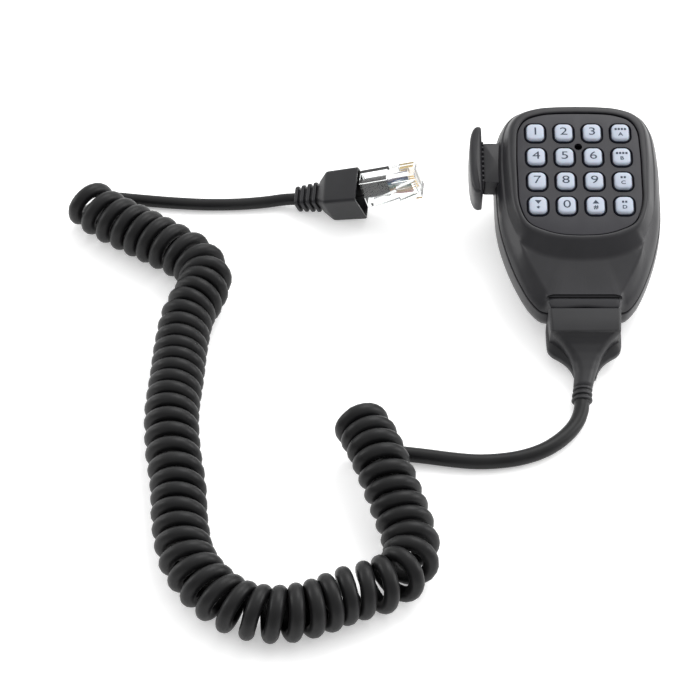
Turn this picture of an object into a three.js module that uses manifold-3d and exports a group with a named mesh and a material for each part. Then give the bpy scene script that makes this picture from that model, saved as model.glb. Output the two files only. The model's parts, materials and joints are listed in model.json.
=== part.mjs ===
// Hand microphone for a mobile radio: keypad, side talk switch, curly cord and eight-way plug.
// Millimetres, +Z up. The microphone lies on its back on z = 0 with its cord end towards -Y.
// Pieces of the microphone are drawn in its own frame: X across, Y from the cord end to the head,
// Z out of the keypad, with z = 0 at the raised rim round the keypad.

import * as THREE from 'three';
import { mergeVertices } from 'three/addons/utils/BufferGeometryUtils.js';
import Module from 'manifold-3d';

const wasm = await Module();
wasm.setup();

// ---------------------------------------------------------------- driving dimensions

const TILT = THREE.MathUtils.degToRad(14);
const MIC_ORIGIN_X = 4.5;
const MIC_ORIGIN_Y = -22.4317;
const GAP = 0.3;
const WALL = 2;

const PARTING_Z = -10;
const SHOULDER_Z = -4.6;
const CHIN_CREST_Z = -3.4;
const CHIN_CREST_Y = 18;
const CHIN_END_Z = -5;
const SHOULDER_LEVEL_Y = 32;
const BACK_Z = -29.5;
const BACK_END_Z = -22;
const FLAT_BACK_FROM_Y = 36;
const BODY_END_Y = -4.5;
const REAR_FULLNESS = 1.03;

const PANEL_TOP_Z = -0.5;
const PANEL_THICK = 1.6;
const KEY_PITCH = 10.45;
const KEY_WIDTH = 7.2;
const KEY_HEIGHT = 7.7;
const KEY_TOP_Z = 0.9;
const KEY_RADIUS = 2.4;
const KEY_CLEARANCE = 0.45;
const KEY_GRID_CENTRE_Y = 50.1;
const PORT_Y = 60.3;
const MAT_TOP_Z = -5.2;
const BOARD_TOP_Z = -6.5;
const BOARD_THICK = 1.6;

const TALK_Y = 57.5;
const TALK_BAR_LENGTH = 29;
const STEM_TOP_Z = -7;
const STEM_BOTTOM_Z = -16;
const STEM_LENGTH = 17.2;

const KNOB_Y = 53;
const KNOB_RADIUS = 9;
const KNOB_BASE_Z = -37.5;

const CASE_SCREWS = [[19.5, 70.2], [-19.5, 70.2], [14, 6], [-14, 6]];
const SCREW_HEAD_Z = -20;

const CORD_DIAMETER = 5.4;
const PLUG_CORD_DIAMETER = 4.6;
const COIL_DIAMETER = 19.5;

// Outlines seen from the front, right half only, from the top of the head to the cord end.
const PARTING_OUTLINE = [
  [0, 80.7], [10, 80.5], [18.4, 79.5], [25.4, 76], [28.7, 69.6], [29.8, 60], [29.9, 47], [29.3, 32],
  [26.6, 19], [22.8, 8], [19, 0.3], [15.3, BODY_END_Y + 0.6], [12.8, BODY_END_Y], [0, BODY_END_Y],
];
const SHOULDER_OUTLINE = [
  [0, 80.1], [9, 79.9], [16.8, 79], [23.8, 75.6], [27, 69.4], [28.1, 60], [28, 47], [26.6, 34.5],
  [23.4, 24.5], [20.4, 15.2], [16.5, 7.4], [13.1, 0], [12.4, BODY_END_Y], [0, BODY_END_Y],
];
const RIM_FOOT_OUTLINE = [
  [0, 80], [9, 79.8], [16.7, 78.9], [23.7, 75.6], [26.9, 69.6], [28, 60], [27.8, 45], [26.6, 32],
  [23.6, 22.4], [17.5, 17.4], [9, 14.7], [0, 13.9],
];
const RIM_OUTLINE = [
  [0, 78], [8, 77.8], [14.2, 77.1], [20.6, 74.8], [24.2, 70.4], [25.3, 62], [25, 48], [24, 34.5],
  [20.8, 26.8], [14.5, 23.1], [7, 21.4], [0, 21],
];
const PANEL_OUTLINE = [
  [0, 75.2], [8, 75], [13.4, 74.4], [19.2, 72.1], [22, 67.8], [22.8, 60], [22.9, 46], [22.4, 35.5],
  [19.4, 27.9], [13.4, 24.4], [7, 22.7], [0, 22.3],
];

// ---------------------------------------------------------------- solids

function solidOf(geometry) {
  const bare = geometry.index ? geometry.clone() : geometry;
  bare.deleteAttribute('normal');
  bare.deleteAttribute('uv');
  const merged = mergeVertices(bare, 1e-4);
  return new wasm.Manifold(new wasm.Mesh({
    numProp: 3,
    vertProperties: new Float32Array(merged.attributes.position.array),
    triVerts: new Uint32Array(merged.index.array),
  }));
}

function geometryOf(solid) {
  const mesh = solid.getMesh();
  const geometry = new THREE.BufferGeometry();
  geometry.setAttribute('position', new THREE.BufferAttribute(mesh.vertProperties, 3));
  geometry.setIndex(new THREE.BufferAttribute(mesh.triVerts, 1));
  return geometry;
}

function join(...geometries) {
  return geometryOf(geometries.map(solidOf).reduce((sum, solid) => sum.add(solid)));
}

function cut(geometry, ...tools) {
  return geometryOf(tools.map(solidOf).reduce((rest, tool) => rest.subtract(tool), solidOf(geometry)));
}

function box([x0, y0, z0], [x1, y1, z1]) {
  const geometry = new THREE.BoxGeometry(x1 - x0, y1 - y0, z1 - z0);
  return geometry.translate((x0 + x1) / 2, (y0 + y1) / 2, (z0 + z1) / 2);
}

function cylinder(radius, z0, z1, x = 0, y = 0, sides = 20) {
  const geometry = new THREE.CylinderGeometry(radius, radius, z1 - z0, sides);
  return geometry.rotateX(Math.PI / 2).translate(x, y, (z0 + z1) / 2);
}

// A turned piece about Z. The profile lists [radius, z] from the axis, anticlockwise, to the axis.
function turned(profile, sides = 24) {
  const points = profile.map(([radius, z]) => new THREE.Vector2(radius, z));
  return new THREE.LatheGeometry(points, sides).rotateX(Math.PI / 2);
}

function roundedSlab(width, height, radius, z0, z1, bevel = 0, x = 0, y = 0) {
  const w = width / 2 - bevel;
  const h = height / 2 - bevel;
  const r = radius - bevel;
  const shape = new THREE.Shape();
  shape.absarc(w - r, h - r, r, 0, Math.PI / 2);
  shape.absarc(r - w, h - r, r, Math.PI / 2, Math.PI);
  shape.absarc(r - w, r - h, r, Math.PI, 1.5 * Math.PI);
  shape.absarc(w - r, r - h, r, 1.5 * Math.PI, 2 * Math.PI);
  const geometry = new THREE.ExtrudeGeometry(shape, {
    depth: z1 - z0 - 2 * bevel,
    curveSegments: 3,
    bevelEnabled: bevel > 0,
    bevelSize: bevel,
    bevelThickness: bevel,
    bevelSegments: 1,
  });
  return geometry.translate(x, y, z0 + bevel);
}

// ---------------------------------------------------------------- lofts

function inset(half, distance) {
  const last = half.length - 1;
  return half.map(([x, y], i) => {
    const [x0, y0] = half[Math.max(i - 1, 0)];
    const [x1, y1] = half[Math.min(i + 1, last)];
    const along = new THREE.Vector2(x1 - x0, y1 - y0).normalize();
    const onAxis = i === 0 || i === last;
    return [onAxis ? 0 : x + along.y * distance, y - along.x * distance];
  });
}

// One closed ring, anticlockwise seen from +Z: down the left half, then up the right half.
function ring(half, heightAt) {
  const curve = new THREE.SplineCurve(half.map(([x, y]) => new THREE.Vector2(x, y)));
  const steps = 2 * (half.length - 1);
  const right = curve.getPoints(steps);
  const left = right.map((p) => new THREE.Vector2(-p.x, p.y));
  const outline = [right[0], ...left.slice(1, -1), right[steps], ...right.slice(1, -1).reverse()];
  return outline.map((p) => new THREE.Vector3(p.x, p.y, heightAt(p.y)));
}

// A solid through rings of equal count, from the lowest to the highest, closed by straight rungs.
function loft(rings) {
  const count = rings[0].length;
  const index = [];
  const quad = (a, b, c, d) => {
    if (a !== b) index.push(a, b, c);
    if (c !== d) index.push(a, c, d);
  };
  for (let level = 0; level + 1 < rings.length; level += 1) {
    for (let i = 0; i < count; i += 1) {
      const next = (i + 1) % count;
      const low = level * count;
      quad(low + i, low + next, low + count + next, low + count + i);
    }
  }
  const top = (rings.length - 1) * count;
  for (let i = 0; i < count / 2; i += 1) {
    const left = [i, i + 1];
    const right = [(count - i) % count, count - i - 1];
    const ends = [[left[0], left[1], right[1]], [left[0], right[1], right[0]]];
    for (const [a, b, c] of ends) {
      if (a !== b && b !== c && a !== c) {
        index.push(top + a, top + b, top + c);
        index.push(a, c, b);
      }
    }
  }
  const geometry = new THREE.BufferGeometry();
  const flat = rings.flat().flatMap((p) => [p.x, p.y, p.z]);
  geometry.setAttribute('position', new THREE.Float32BufferAttribute(flat, 3));
  geometry.setIndex(index);
  return geometry;
}

function level(z) {
  return () => z;
}

// ---------------------------------------------------------------- materials and nodes

const LOOKS = {
  shell: { color: 0x3c3c3e, roughness: 0.62, metalness: 0 },
  panel: { color: 0x49484d, roughness: 0.5, metalness: 0 },
  key: { color: 0xc8d2e4, roughness: 0.45, metalness: 0 },
  rubber: { color: 0x2b2b2d, roughness: 0.75, metalness: 0 },
  board: { color: 0x1f5a3a, roughness: 0.5, metalness: 0 },
  metal: { color: 0xb8bbc0, roughness: 0.3, metalness: 1 },
  gold: { color: 0xd9b25a, roughness: 0.3, metalness: 1 },
  clear: { color: 0xe8eef0, roughness: 0.1, metalness: 0 },
  cores: { color: 0x6f88a8, roughness: 0.5, metalness: 0 },
};

function node(group, name, look, geometry) {
  const mesh = new THREE.Mesh(geometry, new THREE.MeshStandardMaterial(LOOKS[look]));
  mesh.name = name;
  group.add(mesh);
  return mesh;
}

// ---------------------------------------------------------------- case

function backZ(y) {
  const along = (y - BODY_END_Y) / (FLAT_BACK_FROM_Y - BODY_END_Y);
  return THREE.MathUtils.lerp(BACK_END_Z, BACK_Z, THREE.MathUtils.clamp(along, 0, 1));
}

// The shoulder dips towards the head and falls away towards the cord end, with its crest at the chin.
function shoulderZ(y) {
  const { mapLinear } = THREE.MathUtils;
  if (y < CHIN_CREST_Y) return mapLinear(Math.max(y, 0), 0, CHIN_CREST_Y, CHIN_END_Z, CHIN_CREST_Z);
  return mapLinear(Math.min(y, SHOULDER_LEVEL_Y), CHIN_CREST_Y, SHOULDER_LEVEL_Y, CHIN_CREST_Z, SHOULDER_Z);
}

const STEM_SLOT = box([-40, TALK_Y - 8.9, STEM_BOTTOM_Z - 0.4], [-22, TALK_Y + 8.9, STEM_TOP_Z + 0.4]);
const RELIEF_NOTCH = box([-8.2, BODY_END_Y - 2, -16], [8.2, BODY_END_Y + 4, -8]);

function frontShell() {
  const shoulder = loft([
    ring(PARTING_OUTLINE, level(PARTING_Z)),
    ring(inset(PARTING_OUTLINE, 0.5), level(PARTING_Z + 2.4)),
    ring(SHOULDER_OUTLINE, shoulderZ),
  ]);
  const rim = loft([
    ring(RIM_FOOT_OUTLINE, level(SHOULDER_Z - 0.4)),
    ring(inset(RIM_FOOT_OUTLINE, 1.2), level(-1.6)),
    ring(RIM_OUTLINE, level(0)),
  ]);
  const hollow = loft([
    ring(inset(PARTING_OUTLINE, WALL), level(PARTING_Z - 1)),
    ring(inset(SHOULDER_OUTLINE, WALL + 0.4), level(SHOULDER_Z - WALL)),
  ]);
  const panelSeat = loft([
    ring(PANEL_OUTLINE, level(PANEL_TOP_Z - PANEL_THICK - GAP)),
    ring(PANEL_OUTLINE, level(1)),
  ]);
  const window = loft([
    ring(inset(PANEL_OUTLINE, 0.8), level(PARTING_Z)),
    ring(inset(PANEL_OUTLINE, 0.8), level(-1)),
  ]);
  const groove = box([-12.2, -0.8, CHIN_END_Z - 0.8], [12.2, 0, 0]);
  const shell = cut(join(shoulder, rim), hollow, panelSeat, window, groove);
  const bosses = CASE_SCREWS.map(([x, y]) => cylinder(3, PARTING_Z, SHOULDER_Z - WALL + 0.4, x, y, 16));
  const pilots = CASE_SCREWS.map(([x, y]) => cylinder(1.35, PARTING_Z - 2, SHOULDER_Z - WALL, x, y, 12));
  return cut(join(shell, ...bosses), ...pilots, STEM_SLOT, RELIEF_NOTCH);
}

function rearShell() {
  const topZ = PARTING_Z - GAP;
  const deep = (share, extra = 0) => (y) => THREE.MathUtils.lerp(topZ, backZ(y) + extra, share);
  const fullOutline = PARTING_OUTLINE.map(([x, y]) => [x * REAR_FULLNESS, y]);
  const outside = loft([
    ring(inset(PARTING_OUTLINE, 4.6), deep(1)),
    ring(inset(PARTING_OUTLINE, 1.7), deep(0.88)),
    ring(fullOutline, deep(0.45)),
    ring(PARTING_OUTLINE, level(topZ)),
  ]);
  const hollow = loft([
    ring(inset(PARTING_OUTLINE, 6), deep(1, 2.3)),
    ring(inset(PARTING_OUTLINE, WALL + 1), deep(0.6, 2.3)),
    ring(inset(PARTING_OUTLINE, WALL), level(topZ + 1)),
  ]);
  const posts = CASE_SCREWS.map(([x, y]) => cylinder(4.6, backZ(y) + 1, topZ, x, y, 16));
  const knobPost = cylinder(4.4, BACK_Z + 1, BACK_Z + 7, 0, KNOB_Y);
  const postsInside = posts.map((post) => geometryOf(solidOf(post).intersect(solidOf(outside))));
  const bores = CASE_SCREWS.flatMap(([x, y]) => [
    cylinder(3.1, BACK_Z - 1, SCREW_HEAD_Z + 2.2, x, y, 16),
    cylinder(1.6, SCREW_HEAD_Z - 1, PARTING_Z, x, y, 12),
  ]);
  const knobBore = cylinder(1.7, BACK_Z - 1, BACK_Z + 8, 0, KNOB_Y, 12);
  const shell = join(cut(outside, hollow), ...postsInside, knobPost);
  return cut(shell, ...bores, knobBore, STEM_SLOT, RELIEF_NOTCH);
}

function screw(headRadius, headZ, headThick, shaftRadius, tipZ) {
  const slot = headRadius * 0.62;
  const shank = turned([[0, headZ], [headRadius, headZ], [headRadius, headZ + headThick],
    [shaftRadius, headZ + headThick], [shaftRadius, tipZ], [0, tipZ]], 16);
  const cross = [[slot, 0.35], [0.35, slot]].map(([x, y]) => box([-x, -y, headZ - 1], [x, y, headZ + 0.9]));
  return cut(shank, ...cross);
}

function caseParts(mic) {
  node(mic, 'front_shell', 'shell', frontShell());
  node(mic, 'rear_shell', 'shell', rearShell());
  CASE_SCREWS.forEach(([x, y], i) => {
    const fastener = screw(2.6, SCREW_HEAD_Z, 1.8, 1.05, PARTING_Z + 1.5);
    node(mic, `case_screw_${i + 1}`, 'metal', fastener).position.set(x, y, 0);
  });
  const knob = cut(
    turned([[0, KNOB_BASE_Z], [KNOB_RADIUS - 0.8, KNOB_BASE_Z], [KNOB_RADIUS, KNOB_BASE_Z + 0.8],
      [KNOB_RADIUS, KNOB_BASE_Z + 2.6], [KNOB_RADIUS - 0.6, KNOB_BASE_Z + 3.2], [5, KNOB_BASE_Z + 3.2],
      [5, BACK_Z - GAP], [0, BACK_Z - GAP]], 32),
    cylinder(3.4, KNOB_BASE_Z - 1, KNOB_BASE_Z + 2, 0, 0, 16),
    cylinder(1.7, KNOB_BASE_Z, BACK_Z + 1, 0, 0, 12),
  );
  node(mic, 'hang_up_knob', 'metal', knob).position.set(0, KNOB_Y, 0);
  const knobScrew = screw(3, KNOB_BASE_Z + 0.4, 1.3, 1.3, BACK_Z + 6);
  node(mic, 'knob_screw', 'metal', knobScrew).position.set(0, KNOB_Y, 0);
}

// ---------------------------------------------------------------- keypad and inside

const KEY_NAMES = [
  ['key_1', 'key_2', 'key_3', 'key_a'],
  ['key_4', 'key_5', 'key_6', 'key_b'],
  ['key_7', 'key_8', 'key_9', 'key_c'],
  ['key_star', 'key_0', 'key_hash', 'key_d'],
];

function keyPlaces() {
  return KEY_NAMES.flatMap((names, row) => names.map((name, column) => ({
    name,
    x: (column - 1.5) * KEY_PITCH,
    y: KEY_GRID_CENTRE_Y + (1.5 - row) * KEY_PITCH,
  })));
}

function keypadPanel() {
  const plate = loft([
    ring(inset(PANEL_OUTLINE, GAP), level(PANEL_TOP_Z - PANEL_THICK)),
    ring(inset(PANEL_OUTLINE, GAP), level(PANEL_TOP_Z)),
  ]);
  const holes = keyPlaces().map(({ x, y }) => roundedSlab(
    KEY_WIDTH + 2 * KEY_CLEARANCE, KEY_HEIGHT + 2 * KEY_CLEARANCE, KEY_RADIUS + KEY_CLEARANCE,
    PANEL_TOP_Z - PANEL_THICK - 1, PANEL_TOP_Z + 1, 0, x, y,
  ));
  return cut(plate, ...holes, cylinder(1.1, PANEL_TOP_Z - 3, PANEL_TOP_Z + 1, 0, PORT_Y, 12));
}

function keyCap() {
  const flangeTop = PANEL_TOP_Z - PANEL_THICK - GAP;
  return join(
    roundedSlab(KEY_WIDTH, KEY_HEIGHT, KEY_RADIUS, flangeTop - 0.4, KEY_TOP_Z, 0.4),
    roundedSlab(KEY_WIDTH + 1.7, KEY_HEIGHT + 1.7, 3, flangeTop - 0.8, flangeTop),
  );
}

function keyMat() {
  const sheet = loft([
    ring(inset(PANEL_OUTLINE, 1.2), level(MAT_TOP_Z - 1)),
    ring(inset(PANEL_OUTLINE, 1.2), level(MAT_TOP_Z)),
  ]);
  const domes = keyPlaces().map(({ x, y }) => {
    const dome = new THREE.CylinderGeometry(1.8, 2.7, 1, 8).rotateX(Math.PI / 2);
    return dome.translate(x, y, MAT_TOP_Z + 0.3);
  });
  return cut(join(sheet, ...domes), cylinder(1.6, MAT_TOP_Z - 2, MAT_TOP_Z + 2, 0, PORT_Y, 10));
}

function circuitBoard() {
  const plate = loft([
    ring(inset(PANEL_OUTLINE, 1.9), level(BOARD_TOP_Z - BOARD_THICK)),
    ring(inset(PANEL_OUTLINE, 1.9), level(BOARD_TOP_Z)),
  ]);
  const through = (radius, x, y) => cylinder(radius, BOARD_TOP_Z - 3, BOARD_TOP_Z + 1, x, y, 12);
  const clearOfBosses = CASE_SCREWS.map(([x, y]) => through(3.5, x, y));
  return cut(plate, through(1.4, 0, PORT_Y), ...clearOfBosses);
}

function keypadParts(mic) {
  node(mic, 'keypad_panel', 'panel', keypadPanel());
  for (const { name, x, y } of keyPlaces()) {
    node(mic, name, 'key', keyCap()).position.set(x, y, 0);
  }
  node(mic, 'key_mat', 'rubber', keyMat());
  node(mic, 'circuit_board', 'board', circuitBoard());
  const underBoard = BOARD_TOP_Z - BOARD_THICK - GAP;
  node(mic, 'microphone_capsule', 'metal', cylinder(4.8, underBoard - 4.6, underBoard, 0, PORT_Y, 20));
  const boot = cut(
    cylinder(6.4, underBoard - 4.2, underBoard, 0, PORT_Y, 20),
    cylinder(5.1, underBoard - 6, underBoard + 2, 0, PORT_Y, 20),
  );
  node(mic, 'capsule_boot', 'rubber', boot);
  const chip = box([-5, 38, underBoard - 1.6], [5, 48, underBoard]);
  node(mic, 'controller_chip', 'rubber', chip);
  const socket = box([-7, 24.5, underBoard - 5], [7, 30, underBoard]);
  node(mic, 'cord_socket', 'panel', socket);
}

// ---------------------------------------------------------------- talk switch

const STEM_OUTER_X = -34.8;
const STEM_INNER_X = -24.8;

// Seen from the front: flat towards the case, bowed outwards, with rounded ends.
function talkBar() {
  const half = TALK_BAR_LENGTH / 2;
  const inner = STEM_OUTER_X - GAP;
  const shape = new THREE.Shape();
  shape.moveTo(inner, 1 - half);
  shape.lineTo(inner, half - 1);
  shape.quadraticCurveTo(inner - 0.2, half, inner - 1.3, half);
  shape.quadraticCurveTo(inner - 2.7, half, inner - 3.3, half - 1.8);
  shape.quadraticCurveTo(inner - 6.1, 0, inner - 3.3, 1.8 - half);
  shape.quadraticCurveTo(inner - 2.7, -half, inner - 1.3, -half);
  shape.quadraticCurveTo(inner - 0.2, -half, inner, 1 - half);
  const geometry = new THREE.ExtrudeGeometry(shape, {
    depth: 14 - 2 * 0.8,
    curveSegments: 6,
    bevelSize: 0.6,
    bevelOffset: -0.6,
    bevelThickness: 0.8,
    bevelSegments: 2,
  });
  return geometry.translate(0, TALK_Y + 0.7, -19 + 0.8);
}

function talkStem() {
  const half = STEM_LENGTH / 2;
  return join(
    box([STEM_OUTER_X, TALK_Y - half, STEM_BOTTOM_Z], [STEM_INNER_X, TALK_Y + half, STEM_TOP_Z]),
    box([STEM_INNER_X - 1, TALK_Y - half - 0.8, -14], [STEM_INNER_X, TALK_Y + half + 0.8, -10]),
  );
}

function talkParts(mic) {
  node(mic, 'ptt_bar', 'shell', talkBar());
  node(mic, 'ptt_stem', 'shell', talkStem());
  const top = BOARD_TOP_Z - BOARD_THICK - GAP;
  const pin = cylinder(1.3, 0, 1.2, 0, 0, 10).rotateY(-Math.PI / 2).translate(-21.6, TALK_Y, top - 3.4);
  const body = box([-22, TALK_Y - 3.2, top - 5.6], [-15.6, TALK_Y + 3.2, top]);
  node(mic, 'ptt_switch', 'panel', join(body, pin));
}

// ---------------------------------------------------------------- strain relief

const RELIEF_END_Y = -39.3;
const RELIEF_AXIS_Z = -13;
const RELIEF_BEND = -1.9;

// Rounded sections of the relief, [distance from the case, half width, top, bottom].
const RELIEF_SECTIONS = [
  [0, 13, -5, -17.6],
  [8.6, 12.4, -5, -17.6],
  [10.4, 10.6, -6.6, -17.5],
  [13.5, 7.8, -8.3, -17.2],
  [17.5, 5.2, -9, -16.9],
  [22, 3.8, -9.4, -16.6],
  [28, 3.5, -9.6, -16.4],
];

// The thin skirt along the relief's lower edge, right half only.
const SKIRT_OUTLINE = [
  [0, -0.6], [13.2, -0.6], [13.4, -10.6], [12.4, -13.2], [9, -15.4], [6, -18], [4, -21.5], [0, -21.5],
];
const SKIRT_TOP_Z = -13;
const SKIRT_BASE_Z = -17.6;

function reliefSection([distance, halfWidth, top, bottom]) {
  const middle = (top + bottom) / 2;
  const halfHeight = (top - bottom) / 2;
  const bend = RELIEF_BEND * THREE.MathUtils.smoothstep(distance, 18, 34);
  const points = [];
  const steps = 20;
  for (let i = 0; i < steps; i += 1) {
    const angle = Math.PI / 2 + (2 * Math.PI * i) / steps;
    const power = distance < 15 ? 0.5 : 0.9;
    const x = halfWidth * Math.sign(Math.cos(angle)) * Math.abs(Math.cos(angle)) ** power;
    const y = middle + halfHeight * Math.sign(Math.sin(angle)) * Math.abs(Math.sin(angle)) ** power;
    points.push(new THREE.Vector3(Math.abs(x) < 1e-6 ? bend : x + bend, y, distance));
  }
  return points;
}

function strainRelief() {
  const ribs = [0, 1, 2].flatMap((i) => {
    const start = 28.6 + 2.05 * i;
    const wide = 3.45 + 0.12 * i;
    return [[start, wide], [start + 1.25, wide], [start + 1.55, 2.95], [start + 1.95, 2.95]];
  });
  const ribSections = ribs.map(([d, r]) => [d, r, RELIEF_AXIS_Z + r, RELIEF_AXIS_Z - r]);
  const outside = loft([...RELIEF_SECTIONS, ...ribSections].map(reliefSection));
  outside.rotateX(Math.PI / 2).translate(0, BODY_END_Y - GAP, 0);
  const skirt = new THREE.Shape([
    ...SKIRT_OUTLINE.map(([x, y]) => new THREE.Vector2(-x, y)),
    ...SKIRT_OUTLINE.slice(1, -1).reverse().map(([x, y]) => new THREE.Vector2(x, y)),
  ]);
  const depth = SKIRT_TOP_Z - SKIRT_BASE_Z;
  const skirtPlate = new THREE.ExtrudeGeometry(skirt, { depth, bevelEnabled: false });
  return join(
    outside,
    skirtPlate.translate(0, BODY_END_Y - GAP, SKIRT_BASE_Z),
    box([-7.8, BODY_END_Y - 1, -15.6], [7.8, BODY_END_Y + 3.6, -8.4]),
    box([-9.2, BODY_END_Y + 3.3, -14.6], [9.2, BODY_END_Y + 4.7, -7.8]),
  );
}

// ---------------------------------------------------------------- cord

const MIC_TAIL_ROUTE = [
  [2.4, -58.2, 3.9], [1.9, -61.2, 3.4], [0, -66, 2.8], [-4.6, -72.2, 2.7], [-11.6, -77.9, 2.7],
  [-19.5, -81.3, 2.7], [-27.5, -82.9, 2.7], [-35.5, -83.3, 2.7], [-44, -82.4, 2.7], [-53, -80.9, 2.7],
  [-62, -79.4, 2.7], [-71, -78, 2.7], [-79.5, -76, 2.7], [-86, -72.4, 3], [-89.4, -67.5, 4.2],
  [-88.2, -62.8, 6], [-84.2, -62.3, 7.6], [-81.2, -66.6, 8.5], [-77.64, -74.24, 8.7],
];

const COIL_ROUTE = [
  [-77.5, -74.5, 15.8], [-73.1, -82.7, 15.8], [-69, -93.8, 15.6], [-65, -105.4, 13.6], [-61.2, -116.5, 11],
  [-59, -126.5, 9.9], [-60.6, -134.6, 9.9], [-67.6, -141, 9.9], [-80, -145.7, 9.9], [-91.5, -151.2, 9.9],
  [-103.8, -153.6, 9.9], [-116.4, -150.8, 9.9], [-126.6, -142.3, 9.9], [-133.3, -131.6, 9.9],
  [-136.5, -117.5, 9.9], [-138, -100.4, 9.9], [-140.6, -83.5, 9.9], [-141.7, -67.3, 9.9],
  [-140.7, -50.9, 9.9], [-139.8, -34.9, 9.9], [-137.9, -20.5, 9.9], [-133.8, -9.5, 9.9], [-132.6, -1, 9.9],
  [-137, 6.6, 9.9], [-146.6, 14, 9.9], [-159, 22.3, 9.9], [-169, 29, 9.9], [-177.6, 36, 9.9],
];

const PLUG_TAIL_ROUTE = [
  [-177.83, 36.19, 2.85], [-180.6, 39, 2.6], [-181, 43, 2.4], [-177.6, 46.4, 2.4], [-169, 47.2, 2.4],
  [-158, 46, 2.4], [-146, 44.6, 2.4], [-134, 43.8, 2.4], [-122, 44, 2.4], [-112, 44.8, 2.6],
  [-104.5, 45.4, 3.4], [-99.2, 44.6, 4.6], [-91, 43, 7.2], [-82.5, 41.6, 9.8], [-75, 41.6, 12],
  [-67, 41.1, 14.7],
];

function tube(route, diameter, sides, steps) {
  const section = new THREE.Shape();
  for (let i = 0; i < sides; i += 1) {
    const angle = (2 * Math.PI * i) / sides;
    const point = [(diameter / 2) * Math.cos(angle), (diameter / 2) * Math.sin(angle)];
    if (i === 0) section.moveTo(...point);
    else section.lineTo(...point);
  }
  const points = route.map((p) => new THREE.Vector3(...p));
  const extrudePath = new THREE.CatmullRomCurve3(points, false, 'centripetal');
  return new THREE.ExtrudeGeometry(section, { steps, bevelEnabled: false, extrudePath });
}

function cordParts(part) {
  node(part, 'mic_tail', 'rubber', tube(MIC_TAIL_ROUTE, CORD_DIAMETER, 10, 20));
  node(part, 'curly_coil', 'rubber', tube(COIL_ROUTE, COIL_DIAMETER, 12, 36));
  node(part, 'plug_tail', 'rubber', tube(PLUG_TAIL_ROUTE, PLUG_CORD_DIAMETER, 10, 24));
}

// ---------------------------------------------------------------- plug

const PLUG_LENGTH = 21.5;
const PLUG_WIDTH = 11.68;
const PLUG_THICK = 7.8;
const CONTACT_PITCH = 1.02;
const BOOT_SIZE = 15;
const BOOT_RIBS = 4;
const BOOT_RIB_PITCH = 2.5;
const BOOT_END_X = -26.2;
const CONTACTS = 8;
const LATCH_HINGE_X = 18.6;
const LATCH_TIP_X = 5.2;
const LATCH_WIDTH = 6;
const LATCH_TIP_WIDTH = 3.6;
const LATCH_RECESS = 0.8;

// A frame whose X runs along the plug's axis, Y up its width and Z out of its latch side.
function axisFrame(origin, azimuthDeg, pitchDeg, rollDeg) {
  const [azimuth, pitch, roll] = [azimuthDeg, pitchDeg, rollDeg].map(THREE.MathUtils.degToRad);
  const along = new THREE.Vector3(
    Math.cos(pitch) * Math.cos(azimuth),
    Math.cos(pitch) * Math.sin(azimuth),
    Math.sin(pitch),
  );
  const near = new THREE.Vector3().crossVectors(along, new THREE.Vector3(0, 0, 1)).normalize();
  const up = new THREE.Vector3().crossVectors(near, along);
  near.applyAxisAngle(along, -roll);
  up.applyAxisAngle(along, -roll);
  const frame = new THREE.Group();
  frame.quaternion.setFromRotationMatrix(new THREE.Matrix4().makeBasis(along, up, near));
  frame.position.set(...origin);
  return frame;
}

function contactY(i) {
  return (i - (CONTACTS - 1) / 2) * CONTACT_PITCH;
}

function plugBody() {
  const half = PLUG_WIDTH / 2;
  const back = -PLUG_THICK / 2;
  const body = box([0, -half, back], [PLUG_LENGTH, half, -back]);
  const jacketCavity = box([-1, -4.9, -2.7], [10.4, 4.9, 2.7]);
  const coreChannel = box([10, -4.3, -1.4], [18.4, 4.3, 0.6]);
  const contactSlots = Array.from({ length: CONTACTS }, (_, i) => box(
    [14.6, contactY(i) - 0.36, back - 1], [PLUG_LENGTH - 0.9, contactY(i) + 0.36, back + 2],
  ));
  const latchRecess = box(
    [LATCH_HINGE_X - 6.5, -3.4, -back - LATCH_RECESS],
    [PLUG_LENGTH + 1, 3.4, -back + 1],
  );
  return cut(body, jacketCavity, coreChannel, latchRecess, ...contactSlots);
}

// The latch lever, rooted in the nose and standing off the near face towards the cord.
function plugLatch() {
  const z0 = PLUG_THICK / 2 - LATCH_RECESS + GAP;
  const side = new THREE.Shape();
  side.moveTo(PLUG_LENGTH - 0.6, z0);
  side.lineTo(PLUG_LENGTH - 0.6, z0 + 1.1);
  side.lineTo(LATCH_HINGE_X, z0 + 2);
  side.lineTo(LATCH_HINGE_X - 4.2, z0 + 3.6);
  side.lineTo(LATCH_TIP_X, z0 + 6);
  side.lineTo(LATCH_TIP_X - 0.2, z0 + 5);
  side.lineTo(LATCH_HINGE_X - 4.2, z0 + 1.8);
  side.lineTo(LATCH_HINGE_X - 0.2, z0);
  const half = LATCH_WIDTH / 2;
  const lever = new THREE.ExtrudeGeometry(side, { depth: LATCH_WIDTH, bevelEnabled: false });
  lever.rotateX(Math.PI / 2).translate(0, half, 0);
  const waist = [-1, 1].map((s) => {
    const [inner, outer] = [LATCH_TIP_WIDTH / 2, half + 1].map((y) => s * y);
    const y0 = Math.min(inner, outer);
    return box([0, y0, z0 - 1], [LATCH_HINGE_X - 4.8, y0 + half + 1 - LATCH_TIP_WIDTH / 2, z0 + 9]);
  });
  return cut(lever, ...waist);
}

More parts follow.
